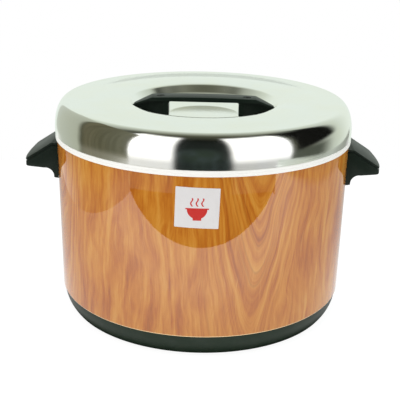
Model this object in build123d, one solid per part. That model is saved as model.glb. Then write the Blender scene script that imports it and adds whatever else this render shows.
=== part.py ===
from build123d import *
import math
import os

# A rice warmer of the kind that needs no current: a double-walled pot that keeps cooked rice hot,
# with a foam-filled lid that lifts off by a handle sunk in its top.
# Frame: +Z up, +X towards the right carrying handle, -Y towards the front, where the label is.
# The origin is the middle of the plane that the rubber feet stand on. Millimetres and degrees.

# Clearances and shared small sizes
overrun = 1.0              # how far a cutting body runs past the face that it cuts
wrap_gap = 0.2             # between curved faces that lie against each other
slip_gap = 0.3             # round pieces that drop into one another
screw_gap = 0.1            # round a screw's shank in a drilled hole

# Feet
foot_count = 4
foot_inset = 39.2          # middle of a foot inside the edge of the base's floor
foot_radius = 12.0
foot_drop = 2.0            # how far the feet hold the base off the table
foot_seat_depth = 3.0      # how deep a foot sits in its pocket
foot_web = 1.8             # rubber left between the screw's head and the pocket
foot_chamfer = 0.6

# Screws under the base
base_screw_head_radius = 4.2
base_screw_head_height = 2.2
base_screw_radius = 2.0
base_screw_reach = 2.0     # past the bottom plate
drive_width = 1.0          # arms of a cross recess
drive_depth = 1.2
drive_share = 1.2          # span of the recess over the head's radius
head_round_share = 0.35    # rounding of a head's edge over the head's height

# Base pan
base_height = 26.2
base_step = 1.4            # upper edge of the base inside the shell
base_draw = 9.8            # edge of the base's floor inside its upper edge
base_wall = 3.0
base_ledge_width = 7.0
boss_wall = 3.0
boss_radius = 6.0

# Outer shell of laminated sheet
shell_sheet = 0.8
shell_step = 1.8           # upper edge of the shell inside the rim
shell_taper = 2.8          # lower edge of the shell inside its upper edge
shell_exposed_height = 200.1
shell_tuck = 2.0           # how far its upper edge runs up into the rim ring
shell_bend = 2.0
shell_flange = 7.5         # turned in under the bottom plate

# Bottom plate
plate_sheet = 1.0

# Rim: the pot's ring below, the lid's ring on it
rim_radius = 190.0
rim_ring_height = 3.5
rim_edge = 0.35            # chamfer that draws the seam between the two rings
rim_leg_depth = 12.0
rim_leg_wall = 2.4

# Liner that holds the rice
liner_inset = 20.0         # wall of the liner inside the rim
liner_sheet = 0.8
liner_corner = 20.0
liner_flange = 8.2
liner_floor_gap = 16.0     # foam between the bottom plate and the liner

# Carrying handles
handle_half_width = 40.0
handle_projection = 39.6   # tip of the handle past the rim
handle_drop = 7.3          # top of the handle below the rim
handle_land = 3.9          # level strip beside the shell
handle_slope = 32.8
handle_tip_drop = 30.7     # underside of the tip below the handle's top
handle_skirt_drop = 47.5
handle_skirt_wall = 1.6
handle_root_width = 14.0
handle_root_rise = 2.6
handle_throat = 11.0       # radius of the hollow curve into the skirt
handle_bulge = 5.0         # plan outline, middle of the tip past its corners
handle_corner = 5.0
handle_least_corner = 1.0  # corner radius inside the wall, where the wall leaves no more
handle_wall = 4.0
handle_mount_wall = 5.5
handle_groove_drop = 1.8
handle_groove_width = 1.8
handle_groove_depth = 1.0

# Fixing of the carrying handles
handle_screw_angle = 6.8
handle_screw_drop = 21.0
handle_screw_radius = 2.5
handle_screw_head_radius = 4.6
handle_screw_head_height = 2.8
handle_screw_reach = 14.0  # past the shell, into the handle's boss
handle_boss_radius = 6.0
handle_boss_length = 17.0
backing_sheet = 2.0
backing_angle = 22.0
backing_height = 30.0

# Label
label_width = 50.0
label_height = 48.0
label_thickness = 0.3
label_drop = 12.8          # its upper edge below the rim
label_offset = -2.3        # stuck on a little left of the middle
label_gap = 0.05

# Lid ring and its upstand
lid_upstand_height = 3.0

# Lid cover of polished sheet
cover_sheet = 0.6
cover_foot_inset = 0.5     # lower edge of the cover inside the rim
cover_belly = 0.1          # widest part of the cover past the rim
cover_belly_height = 9.1
shoulder_width = 15.3
shoulder_height = 31.0
land_inset = 39.0          # inner end of the level ring on the lid's top, inside the rim
land_dip = 0.8
step_width = 4.0
step_rise = 1.2
mouth_inset = 33.0         # where the top starts to roll into the recess, inside that ring
roll_radius = 79.2
roll_angle = 15.0
edge_radius = 4.0
wall_slope = 65.0
bowl_round = 9.0
bowl_slope = 11.0
floor_blend = 40.0
floor_inset = 74.0         # edge of the recess's flat floor inside its mouth
recess_depth = 22.0

# Lid inner pan, foam and seal
pan_sheet = 0.6
pan_inset = 5.6            # lid's pan inside the liner
pan_corner = 8.0
pan_flange = 9.6
plug_depth = 15.8          # how far the lid's pan hangs into the liner
seal_width = 5.0
seal_height = 2.5
seal_inset = 1.5           # outer edge of the seal inside the edge of the liner's flange

# Lid handle
grip_half_width = 13.0
grip_rise = 2.0            # top of the grip above the lid's top
grip_crown = 1.4           # the top is arched along its length by this much
grip_thickness = 5.9
grip_tip_inset = 26.2      # tip of the grip inside the mouth of the recess
grip_wing_length = 24.8    # sloping end of the grip
grip_tip_drop = 12.4
grip_tip_height = 2.2
grip_tip_half_width = 3.5
grip_taper_length = 31.8   # end of the grip that narrows
grip_end_length = 46.8     # leg and wing, beyond the finger gap
finger_round = 3.0
grip_seat_gap = 0.2
leg_half_width = 11.5

# Fixing of the lid handle
grip_screw_inset = 36.3    # screw inside the grip's tip
grip_screw_radius = 2.5
grip_screw_head_radius = 4.2
grip_screw_head_height = 2.6
grip_screw_sink = 0.9      # head below the top of the grip
grip_screw_clear = 0.5
strip_thickness = 2.5
strip_overhang = 8.5       # strip past its screws
strip_half_width = 11.0
nut_flats = 8.0
nut_height = 4.0
nut_show = 1.5             # screw past the nut

# Heights that follow
base_z = foot_drop
shell_z = base_z + base_height
plate_z = shell_z + shell_sheet
plate_top_z = plate_z + plate_sheet
rim_z = shell_z + shell_exposed_height
seam_z = rim_z + rim_ring_height
cover_z = seam_z + rim_ring_height
belly_z = cover_z + cover_belly_height
crown_z = belly_z + shoulder_height
land_z = crown_z - land_dip
top_z = land_z + step_rise
floor_z = top_z - recess_depth
liner_z = plate_top_z + liner_floor_gap
upstand_z = cover_z + lid_upstand_height
pan_z = seam_z - plug_depth
handle_top_z = rim_z - handle_drop
handle_screw_z = handle_top_z - handle_screw_drop
grip_top_z = top_z + grip_rise

# Radii and lengths that follow
shell_upper_radius = rim_radius - shell_step
shell_lower_radius = shell_upper_radius - shell_taper
base_upper_radius = shell_lower_radius - base_step
base_lower_radius = base_upper_radius - base_draw
foot_ring_radius = base_lower_radius - foot_inset
liner_radius = rim_radius - liner_inset
pan_radius = liner_radius - pan_inset
land_radius = rim_radius - land_inset
mouth_radius = land_radius - mouth_inset
floor_radius = mouth_radius - floor_inset
shoulder_radius = rim_radius + cover_belly - shoulder_width
liner_outer_radius = liner_radius + liner_sheet
liner_flange_radius = liner_outer_radius + liner_flange
upstand_radius = rim_radius - cover_foot_inset - cover_sheet - slip_gap
handle_reach = rim_radius + handle_projection
seal_radius = liner_flange_radius - seal_inset
grip_half_length = mouth_radius - grip_tip_inset
grip_flat_half = grip_half_length - grip_wing_length
grip_taper_start = grip_half_length - grip_taper_length
finger_half_gap = grip_half_length - grip_end_length
grip_screw_offset = grip_half_length - grip_screw_inset
strip_half_length = grip_screw_offset + strip_overhang


def shell_radius(z):
    """Outer radius of the tapered shell at a height."""
    rise = (z - shell_z) / shell_exposed_height
    return shell_lower_radius + rise * (shell_upper_radius - shell_lower_radius)


def face_of(*curves):
    """One flat face inside a closed chain of lines and arcs."""
    return make_face([edge for curve in curves for edge in curve.edges()])


def turned(*curves):
    """A solid turned about the upright axis from a chain in (radius, height)."""
    return revolve(Plane.XZ * face_of(*curves), Axis.Z)


def turned_points(*points):
    """A solid turned about the upright axis from a polygon in (radius, height)."""
    return turned(Polyline(*points, close=True))


def disc(radius, low, high):
    """A round disc on the upright axis between two heights."""
    return Pos(0, 0, low) * Cylinder(radius, high - low, align=(Align.CENTER, Align.CENTER, Align.MIN))


def tube(outer, inner, low, high):
    """A plain ring on the upright axis between two heights."""
    return disc(outer, low, high) - disc(inner, low - overrun, high + overrun)


def sector(low, high, inward, outward, angle):
    """A piece of the shell's cone, centred on +X, between two distances from the shell's outer face."""
    ring = revolve(
        Plane.XZ * face_of(Polyline(
            (shell_radius(low) + inward, low),
            (shell_radius(low) + outward, low),
            (shell_radius(high) + outward, high),
            (shell_radius(high) + inward, high),
            close=True,
        )),
        Axis.Z,
        revolution_arc=angle,
    )
    return Rot(0, 0, -angle / 2) * ring


def cup(radius, low, high, corner):
    """The space inside a round cup with a rounded bottom corner."""
    return turned(
        Polyline((0, low), (radius - corner, low)),
        CenterArc((radius - corner, low + corner), corner, -90, 90),
        Polyline((radius, low + corner), (radius, high), (0, high), (0, low)),
    )


def pan_head_screw(radius, length, head_radius, head_height):
    """A screw with its head's seat at the origin, its shank down -Z and a cross recess in its head."""
    shank = Cylinder(radius, length, align=(Align.CENTER, Align.CENTER, Align.MAX))
    head = Cylinder(head_radius, head_height, align=(Align.CENTER, Align.CENTER, Align.MIN))
    head = fillet(head.edges().sort_by(Axis.Z)[-1], head_round_share * head_height)
    span = drive_share * head_radius
    arm = Box(span, drive_width, drive_depth, align=(Align.CENTER, Align.CENTER, Align.MAX))
    cross = Pos(0, 0, head_height) * (arm + Rot(0, 0, 90) * arm)
    return shank + head - cross


def around_feet(shape):
    """Copies of a shape, built on the foot circle's +X point, at each foot."""
    turn = 360 / foot_count
    return [Rot(0, 0, turn * (index + 0.5)) * Pos(foot_ring_radius, 0, 0) * shape for index in range(foot_count)]


def make_foot():
    """One round rubber foot with a sunk seat for its screw."""
    height = foot_drop + foot_seat_depth
    foot = Cylinder(foot_radius, height, align=(Align.CENTER, Align.CENTER, Align.MIN))
    foot = chamfer(foot.edges().sort_by(Axis.Z)[0], foot_chamfer)
    sink = height - foot_web
    foot -= Cylinder(base_screw_head_radius + slip_gap, sink, align=(Align.CENTER, Align.CENTER, Align.MIN))
    foot -= Cylinder(base_screw_radius + screw_gap, height + overrun, align=(Align.CENTER, Align.CENTER, Align.MIN))
    return foot


def make_base_screw():
    """One screw from under a foot into the bottom plate, head down."""
    seat = foot_drop + foot_seat_depth - foot_web
    length = plate_top_z + base_screw_reach - seat
    screw = pan_head_screw(base_screw_radius, length, base_screw_head_radius, base_screw_head_height)
    return Pos(0, 0, seat) * Rot(180, 0, 0) * screw


def base_section(inset, low):
    """The inside of the base pan's curved wall, moved in by a wall, down to a height."""
    side = base_upper_radius - base_lower_radius
    bow = (side ** 2 + base_height ** 2) / (2 * side)
    centre = base_upper_radius - bow
    start = math.degrees(math.asin((shell_z - low) / (bow - inset)))
    edge = centre + math.sqrt((bow - inset) ** 2 - (shell_z - low) ** 2)
    return turned(
        Polyline((0, low), (edge, low)),
        CenterArc((centre, shell_z), bow - inset, -start, start),
        Polyline((base_upper_radius - inset, shell_z), (0, shell_z), (0, low)),
    )


def make_base_pan():
    """Black dish under the pot, with a ledge for the shell and a boss and pocket for each foot."""
    floor = base_z + base_wall
    pan = base_section(0, base_z) - base_section(base_wall, floor)
    ledge_outer = base_upper_radius - base_wall / 2
    ledge_inner = base_upper_radius - base_wall - base_ledge_width
    pan += tube(ledge_outer, ledge_inner, shell_z - base_wall, shell_z)
    pocket_radius = foot_radius + wrap_gap
    pad = Pos(0, 0, floor) * Cylinder(
        pocket_radius + boss_wall, boss_wall, align=(Align.CENTER, Align.CENTER, Align.MIN))
    column = Pos(0, 0, floor) * Cylinder(
        boss_radius, plate_z - floor, align=(Align.CENTER, Align.CENTER, Align.MIN))
    pocket = Cylinder(pocket_radius, foot_drop + foot_seat_depth, align=(Align.CENTER, Align.CENTER, Align.MIN))
    bore = Cylinder(
        base_screw_radius + screw_gap, plate_z + overrun, align=(Align.CENTER, Align.CENTER, Align.MIN))
    for boss in around_feet(pad + column):
        pan += boss
    for hole in around_feet(pocket + bore):
        pan -= hole
    return pan


def make_outer_shell():
    """Tapered sheet wall, turned in at its lower edge."""
    bend_z = shell_z + shell_bend
    bend_radius = shell_radius(bend_z) - shell_bend
    top = rim_z + shell_tuck
    flange = base_upper_radius - shell_flange
    inner_bend = shell_bend - shell_sheet
    return turned(
        CenterArc((bend_radius, bend_z), shell_bend, -90, 90),
        Polyline(
            (shell_radius(bend_z), bend_z),
            (shell_radius(top), top),
            (shell_radius(top) - shell_sheet, top),
            (shell_radius(bend_z) - shell_sheet, bend_z),
        ),
        CenterArc((bend_radius, bend_z), inner_bend, -90, 90),
        Polyline((bend_radius, plate_z), (flange, plate_z), (flange, shell_z), (bend_radius, shell_z)),
    ) - handle_screw_holes(handle_screw_radius + screw_gap)


def make_bottom_plate():
    """Steel disc on the shell's turned-in edge, drilled for the base screws."""
    plate = disc(shell_radius(shell_z) - shell_bend - wrap_gap, plate_z, plate_top_z)
    hole = Cylinder(base_screw_radius + screw_gap, plate_top_z + overrun, align=(Align.CENTER, Align.CENTER, Align.MIN))
    for drilled in around_feet(hole):
        plate -= drilled
    return plate


def make_rim_ring():
    """White ring that closes the gap between shell and liner and takes the shell's upper edge."""
    shell_out = shell_radius(rim_z) + wrap_gap
    shell_in = shell_radius(rim_z) - shell_sheet - wrap_gap
    groove_z = rim_z + shell_tuck
    leg_z = rim_z - rim_leg_depth
    leg_out = shell_radius(leg_z) - shell_sheet - wrap_gap
    step_radius = liner_flange_radius + slip_gap
    step_z = seam_z - liner_sheet
    bore = liner_outer_radius + slip_gap
    return turned_points(
        (shell_out, rim_z),
        (rim_radius - rim_edge, rim_z),
        (rim_radius, rim_z + rim_edge),
        (rim_radius, seam_z - rim_edge),
        (rim_radius - rim_edge, seam_z),
        (step_radius, seam_z),
        (step_radius, step_z),
        (bore, step_z),
        (bore, rim_z),
        (leg_out - rim_leg_wall, rim_z),
        (leg_out - rim_leg_wall, leg_z),
        (leg_out, leg_z),
        (shell_in, rim_z),
        (shell_in, groove_z),
        (shell_out, groove_z),
    )


def make_inner_liner():
    """Seamless pot that the rice goes in, with a flange on the rim ring."""
    outside = cup(liner_outer_radius, liner_z, seam_z, liner_corner + liner_sheet)
    flange = disc(liner_flange_radius, seam_z - liner_sheet, seam_z)
    inside = cup(liner_radius, liner_z + liner_sheet, seam_z + overrun, liner_corner)
    return outside + flange - inside


def make_body_insulation():
    """Foam between the shell and the liner, with pockets for the backing plates and screws."""
    inset = shell_sheet + slip_gap
    leg_z = rim_z - rim_leg_depth - slip_gap
    leg_in = shell_radius(leg_z) - shell_sheet - wrap_gap - rim_leg_wall - slip_gap
    foot_edge = shell_radius(plate_top_z) - shell_bend - slip_gap
    clear_z = plate_top_z + shell_bend
    foam = turned_points(
        (0, plate_top_z),
        (foot_edge, plate_top_z),
        (shell_radius(clear_z) - inset, clear_z),
        (shell_radius(leg_z) - inset, leg_z),
        (leg_in, leg_z),
        (leg_in, rim_z),
        (0, rim_z),
    )
    foam -= cup(liner_outer_radius + slip_gap, liner_z, rim_z + overrun, liner_corner + liner_sheet + slip_gap)
    for turn in (0, 180):
        foam -= Rot(0, 0, turn) * backing_pocket()
    tip = Cylinder(
        base_screw_radius + slip_gap,
        plate_top_z + base_screw_reach + slip_gap,
        align=(Align.CENTER, Align.CENTER, Align.MIN),
    )
    for pocket in around_feet(tip):
        foam -= pocket
    return foam


def backing_low():
    """Lower edge of a backing plate, centred on its screws."""
    return handle_screw_z - backing_height / 2


def make_backing_plate():
    """Curved steel plate inside the shell behind the right handle, drilled for its screws."""
    low = backing_low()
    outward = -shell_sheet - wrap_gap
    plate = sector(low, low + backing_height, outward - backing_sheet, outward, backing_angle)
    return plate - handle_screw_holes(handle_screw_radius + screw_gap)


def backing_pocket():
    """Room in the foam for the right backing plate and the heads of its screws."""
    low = backing_low() - slip_gap
    high = backing_low() + backing_height + slip_gap
    inward = -shell_sheet - 2 * wrap_gap - backing_sheet - handle_screw_head_height - slip_gap
    return sector(low, high, inward, overrun, backing_angle + 2 * math.degrees(slip_gap / shell_lower_radius))


def on_handle_screws(shape):
    """A shape built along +X from the axis, set at each screw of the right handle."""
    return [Rot(0, 0, angle) * Pos(0, 0, handle_screw_z) * shape for angle in (-handle_screw_angle, handle_screw_angle)]


def handle_screw_holes(radius):
    """Drills through the shell on both sides."""
    reach = 2 * handle_reach
    drill = Rot(0, 90, 0) * Cylinder(radius, reach)
    return Compound(children=on_handle_screws(drill))


def make_handle_screws():
    """The two screws of the right handle, heads inside against the backing plate."""
    seat = shell_radius(handle_screw_z) - shell_sheet - 2 * wrap_gap - backing_sheet
    length = shell_radius(handle_screw_z) + handle_screw_reach - seat
    screw = pan_head_screw(handle_screw_radius, length, handle_screw_head_radius, handle_screw_head_height)
    placed = Pos(seat, 0, 0) * Rot(0, -90, 0) * screw
    return Compound(children=on_handle_screws(placed))


def handle_plan(inset):
    """Upright block with the right handle's plan outline, moved in by a wall."""
    half = handle_half_width - inset
    bow = (handle_half_width ** 2 + handle_bulge ** 2) / (2 * handle_bulge)
    tip = handle_reach - inset
    centre = handle_reach - bow
    corner = centre + math.sqrt((bow - inset) ** 2 - half ** 2)
    root = liner_radius
    plan = face_of(
        Polyline((corner, -half), (root, -half), (root, half), (corner, half)),
        ThreePointArc((corner, half), (tip, 0), (corner, -half)),
    )
    outer_corners = plan.vertices().sort_by(Axis.X)[-2:]
    plan = fillet(outer_corners, max(handle_corner - inset, handle_least_corner))
    return extrude(plan, 2 * rim_z)


def handle_side(drop):
    """Side view of the right handle's top slope and tip, lowered by a wall."""
    wall_x = shell_radius(handle_top_z)
    slope = math.tan(math.radians(handle_slope))
    lift = drop / math.cos(math.radians(handle_slope)) - drop
    knee_x = wall_x + handle_land
    knee_z = handle_top_z - drop
    end_x = handle_reach + overrun
    end_z = knee_z - lift - (end_x - knee_x) * slope
    return knee_x, knee_z, end_x, end_z


def make_side_handle():
    """Right carrying handle: a hollow ear with a sloping top, open below for the fingers."""
    wall_x = shell_radius(handle_top_z)
    knee_x, knee_z, end_x, end_z = handle_side(0)
    tip_z = handle_top_z - handle_tip_drop
    skirt_z = handle_top_z - handle_skirt_drop
    root_x = wall_x + handle_root_width
    root_z = tip_z - handle_root_rise
    foot_x = wall_x + handle_skirt_wall
    inside = liner_radius
    side = face_of(
        Polyline(
            (inside, handle_top_z), (knee_x, knee_z), (end_x, end_z), (end_x, tip_z), (root_x, root_z)),
        RadiusArc((root_x, root_z), (foot_x, skirt_z + handle_skirt_wall), handle_throat),
        Polyline((foot_x, skirt_z + handle_skirt_wall), (inside, skirt_z), (inside, handle_top_z)),
    )
    ear = extrude(Plane.XZ * side, handle_half_width + overrun, both=True)
    ear = ear & handle_plan(0)
    groove_knee_x, groove_knee_z, groove_end_x, groove_end_z = handle_side(handle_groove_drop)
    low_knee_x, low_knee_z, low_end_x, low_end_z = handle_side(handle_groove_drop + handle_groove_width)
    band = face_of(Polyline(
        (inside, groove_knee_z),
        (groove_knee_x, groove_knee_z),
        (groove_end_x, groove_end_z),
        (low_end_x, low_end_z),
        (low_knee_x, low_knee_z),
        (inside, low_knee_z),
        close=True,
    ))
    band = extrude(Plane.XZ * band, handle_half_width + overrun, both=True)
    ear -= band - handle_plan(handle_groove_depth)
    roof_knee_x, roof_knee_z, roof_end_x, roof_end_z = handle_side(handle_wall)
    mount_x = wall_x + handle_mount_wall
    hollow = face_of(Polyline(
        (mount_x, skirt_z - overrun),
        (mount_x, roof_knee_z - (mount_x - roof_knee_x) * math.tan(math.radians(handle_slope))),
        (roof_end_x, roof_end_z),
        (roof_end_x, skirt_z - overrun),
        close=True,
    ))
    hollow = extrude(Plane.XZ * hollow, handle_half_width, both=True) & handle_plan(handle_wall)
    boss = Rot(0, 90, 0) * Cylinder(
        handle_boss_radius, handle_boss_length, align=(Align.CENTER, Align.CENTER, Align.MIN))
    bosses = on_handle_screws(Pos(wall_x, 0, 0) * boss)
    roof = extrude(Plane.XZ * side, handle_half_width + overrun, both=True)
    for placed in bosses:
        hollow -= placed
    ear = (ear - hollow) & roof
    cone = turned_points(
        (0, skirt_z - overrun),
        (shell_radius(skirt_z - overrun) + wrap_gap, skirt_z - overrun),
        (shell_radius(rim_z) + wrap_gap, rim_z),
        (0, rim_z),
    )
    ear -= cone
    bore_length = handle_screw_reach + slip_gap
    bore = Rot(0, 90, 0) * Cylinder(
        handle_screw_radius + screw_gap, bore_length, align=(Align.CENTER, Align.CENTER, Align.MIN))
    for placed in on_handle_screws(Pos(shell_radius(handle_screw_z), 0, 0) * bore):
        ear -= placed
    return ear


def make_front_label():
    """Thin square sticker on the front of the shell, left bare."""
    high = rim_z - label_drop
    low = high - label_height
    arc = math.degrees(label_width / shell_radius(low))
    turn = -90 + math.degrees(label_offset / shell_radius(low))
    return Rot(0, 0, turn) * sector(low, high, label_gap, label_gap + label_thickness, arc)


def from_centre(centre, radius, angle):
    """The point at an angle on a circle."""
    return (
        centre[0] + radius * math.cos(math.radians(angle)),
        centre[1] + radius * math.sin(math.radians(angle)),
    )


def under_cover(inset):
    """All that lies under the lid's upper skin, with the skin moved in by a thickness."""
    roll_centre = (mouth_radius, top_z - roll_radius)
    roll_end = 90 + roll_angle
    edge_end = 90 + wall_slope
    edge_centre = from_centre(roll_centre, roll_radius - edge_radius, roll_end)
    wall_top = from_centre(edge_centre, edge_radius, edge_end)
    blend_centre = (floor_radius, floor_z + floor_blend)
    cone_foot = from_centre(blend_centre, floor_blend, bowl_slope - 90)
    steep = math.tan(math.radians(wall_slope))
    gentle = math.tan(math.radians(bowl_slope))
    corner_r = (wall_top[1] - cone_foot[1] + cone_foot[0] * gentle - wall_top[0] * steep) / (gentle - steep)
    corner_z = cone_foot[1] + (corner_r - cone_foot[0]) * gentle
    run = bowl_round * math.tan(math.radians((wall_slope - bowl_slope) / 2))
    bowl_foot = from_centre((corner_r, corner_z), run, bowl_slope + 180)
    bowl_centre = from_centre(bowl_foot, bowl_round, bowl_slope + 90)
    return turned(
        Polyline(
            (0, cover_z),
            (rim_radius - cover_foot_inset - inset, cover_z),
            (rim_radius + cover_belly - inset, belly_z),
        ),
        EllipticalCenterArc(
            (shoulder_radius, belly_z), shoulder_width - inset, shoulder_height - inset, 0, arc_size=90),
        Polyline(
            (shoulder_radius, crown_z - inset),
            (land_radius, land_z - inset),
            (land_radius - step_width, top_z - inset),
            (mouth_radius, top_z - inset),
        ),
        CenterArc(roll_centre, roll_radius - inset, 90, roll_angle),
        CenterArc(edge_centre, edge_radius - inset, roll_end, wall_slope - roll_angle),
        Line(
            from_centre(edge_centre, edge_radius - inset, edge_end),
            from_centre(bowl_centre, bowl_round + inset, wall_slope - 90),
        ),
        CenterArc(bowl_centre, bowl_round + inset, wall_slope - 90, bowl_slope - wall_slope),
        Line(
            from_centre(bowl_centre, bowl_round + inset, bowl_slope - 90),
            from_centre(blend_centre, floor_blend + inset, bowl_slope - 90),
        ),
        CenterArc(blend_centre, floor_blend + inset, bowl_slope - 90, -bowl_slope),
        Polyline((floor_radius, floor_z - inset), (0, floor_z - inset), (0, cover_z)),
    )


def on_grip_screws(shape):
    """A shape built on the upright axis, set at each screw of the lid handle."""
    return Compound(children=[Pos(side * grip_screw_offset, 0, 0) * shape for side in (-1, 1)])


def grip_screw_holes(radius):
    """Drills for both screws of the lid handle."""
    return on_grip_screws(disc(radius, pan_z, grip_top_z + overrun))


def make_lid_cover():
    """Polished sheet over the lid, with the recess that the handle sits in."""
    cover = under_cover(0) - under_cover(cover_sheet)
    return cover - grip_screw_holes(grip_screw_radius + screw_gap)


def make_lid_rim_ring():
    """White ring under the cover that carries the cover, the inner pan and the seal."""
    inner = pan_radius + wrap_gap
    ring = turned_points(
        (inner, seam_z),
        (rim_radius - rim_edge, seam_z),
        (rim_radius, seam_z + rim_edge),
        (rim_radius, cover_z - rim_edge),
        (rim_radius - rim_edge, cover_z),
        (upstand_radius, cover_z),
        (upstand_radius, upstand_z),
        (inner, upstand_z),
    )
    groove_outer = seal_radius + wrap_gap
    groove_inner = seal_radius - seal_width - wrap_gap
    groove = tube(groove_outer, groove_inner, seam_z - overrun, seam_z + seal_height)
    return ring - groove


def make_lid_gasket():
    """Silicone ring that closes the lid on the liner's flange."""
    return tube(seal_radius, seal_radius - seal_width, seam_z, seam_z + seal_height)


def make_lid_inner_pan():
    """Steel pan under the lid that hangs a little way into the liner."""
    outside = cup(pan_radius, pan_z, upstand_z, pan_corner + pan_sheet)
    flange = disc(pan_radius + pan_flange, upstand_z, upstand_z + pan_sheet)
    inside = cup(pan_radius - pan_sheet, pan_z + pan_sheet, upstand_z + pan_sheet + overrun, pan_corner)
    return outside + flange - inside


def make_lid_handle_strip():
    """Steel strip under the recess that spreads the load of the lid handle."""
    high = floor_z - cover_sheet
    strip = Pos(0, 0, high) * Box(
        2 * strip_half_length, 2 * strip_half_width, strip_thickness,
        align=(Align.CENTER, Align.CENTER, Align.MAX),
    )
    return strip - grip_screw_holes(grip_screw_radius + screw_gap)


def make_lid_handle_nuts():
    """Two hexagon nuts under the strip."""
    high = floor_z - cover_sheet - strip_thickness
    blank = extrude(RegularPolygon(nut_flats / 2, 6, major_radius=False), nut_height)
    nut = Pos(0, 0, high - nut_height) * blank
    return on_grip_screws(nut) - grip_screw_holes(grip_screw_radius + screw_gap)


def grip_seat_z():
    """Height that the heads of the lid handle's screws sit at."""
    return grip_top_z - grip_screw_sink - grip_screw_head_height


def grip_screw_end_z():
    """Lower end of the lid handle's screws."""
    return floor_z - cover_sheet - strip_thickness - nut_height - nut_show


def make_lid_handle_screws():
    """Two screws sunk in the top of the lid handle."""
    length = grip_seat_z() - grip_screw_end_z()
    screw = pan_head_screw(grip_screw_radius, length, grip_screw_head_radius, grip_screw_head_height)
    return on_grip_screws(Pos(0, 0, grip_seat_z()) * screw)


def make_lid_handle():
    """Black grip across the recess, with wings that run down to the recess's wall."""
    tip_z = grip_top_z - grip_tip_drop
    low_z = tip_z - grip_tip_height
    under_z = grip_top_z - grip_thickness
    end_z = grip_top_z - grip_crown
    block = face_of(
        ThreePointArc((-grip_flat_half, end_z), (0, grip_top_z), (grip_flat_half, end_z)),
        Polyline(
            (grip_flat_half, end_z),
            (grip_half_length, tip_z),
            (grip_half_length, low_z),
            (finger_half_gap, floor_z - overrun),
            (-finger_half_gap, floor_z - overrun),
            (-grip_half_length, low_z),
            (-grip_half_length, tip_z),
            (-grip_flat_half, end_z),
        ),
    )
    grip = extrude(Plane.XZ * block, grip_half_width, both=True)
    taper = grip_half_length - grip_taper_start
    narrow = grip_half_width - grip_tip_half_width
    bow = (taper ** 2 + narrow ** 2) / (2 * narrow)
    middle = math.sin(math.asin(taper / bow) / 2) * bow
    middle_drop = bow - math.sqrt(bow ** 2 - middle ** 2)
    sides = []
    for side_x, side_y in ((1, 1), (1, -1), (-1, -1), (-1, 1)):
        sides.append(ThreePointArc(
            (side_x * grip_taper_start, side_y * grip_half_width),
            (side_x * (grip_taper_start + middle), side_y * (grip_half_width - middle_drop)),
            (side_x * grip_half_length, side_y * grip_tip_half_width),
        ))
    for side in (1, -1):
        sides.append(Line(
            (-grip_taper_start, side * grip_half_width), (grip_taper_start, side * grip_half_width)))
        sides.append(Line(
            (side * grip_half_length, -grip_tip_half_width), (side * grip_half_length, grip_tip_half_width)))
    grip &= extrude(face_of(*sides), 2 * grip_top_z)
    gap_height = under_z - floor_z + 2 * overrun
    window = RectangleRounded(2 * finger_half_gap, 2 * gap_height, finger_round)
    grip -= extrude(Plane.XZ * Pos(0, under_z - gap_height) * window, grip_half_width + overrun, both=True)
    for side in (1, -1):
        cheek = Pos(0, side * (leg_half_width + grip_half_width), floor_z) * Box(
            2 * grip_half_length + overrun, 2 * grip_half_width, under_z - floor_z,
            align=(Align.CENTER, Align.CENTER, Align.MIN),
        )
        grip -= cheek
    grip -= under_cover(-grip_seat_gap)
    sink = disc(grip_screw_head_radius + grip_screw_clear, grip_seat_z(), grip_top_z + overrun)
    return grip - on_grip_screws(sink) - grip_screw_holes(grip_screw_radius + screw_gap)


def make_lid_insulation():
    """Foam that fills the lid, with pockets for the strip, nuts and screws."""
    inset = cover_sheet + slip_gap
    above = under_cover(inset) - disc(rim_radius + overrun, cover_z - overrun, upstand_z + pan_sheet)
    corner = pan_corner - slip_gap
    inside = cup(pan_radius - pan_sheet - slip_gap, pan_z + pan_sheet, upstand_z + 2 * pan_sheet, corner)
    foam = above + inside
    strip_high = floor_z - cover_sheet
    strip_low = strip_high - strip_thickness
    foam -= Pos(0, 0, strip_low - slip_gap) * Box(
        2 * (strip_half_length + slip_gap), 2 * (strip_half_width + slip_gap), strip_thickness + slip_gap,
        align=(Align.CENTER, Align.CENTER, Align.MIN),
    )
    nut_room = disc(nut_flats / math.sqrt(3) + slip_gap, strip_low - nut_height - slip_gap, strip_low)
    screw_room = disc(grip_screw_radius + slip_gap, grip_screw_end_z() - slip_gap, top_z)
    return foam - on_grip_screws(nut_room + screw_room)


def to_left(shape):
    """A piece of the right handle turned round to the left one."""
    return Rot(0, 0, 180) * shape


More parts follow.
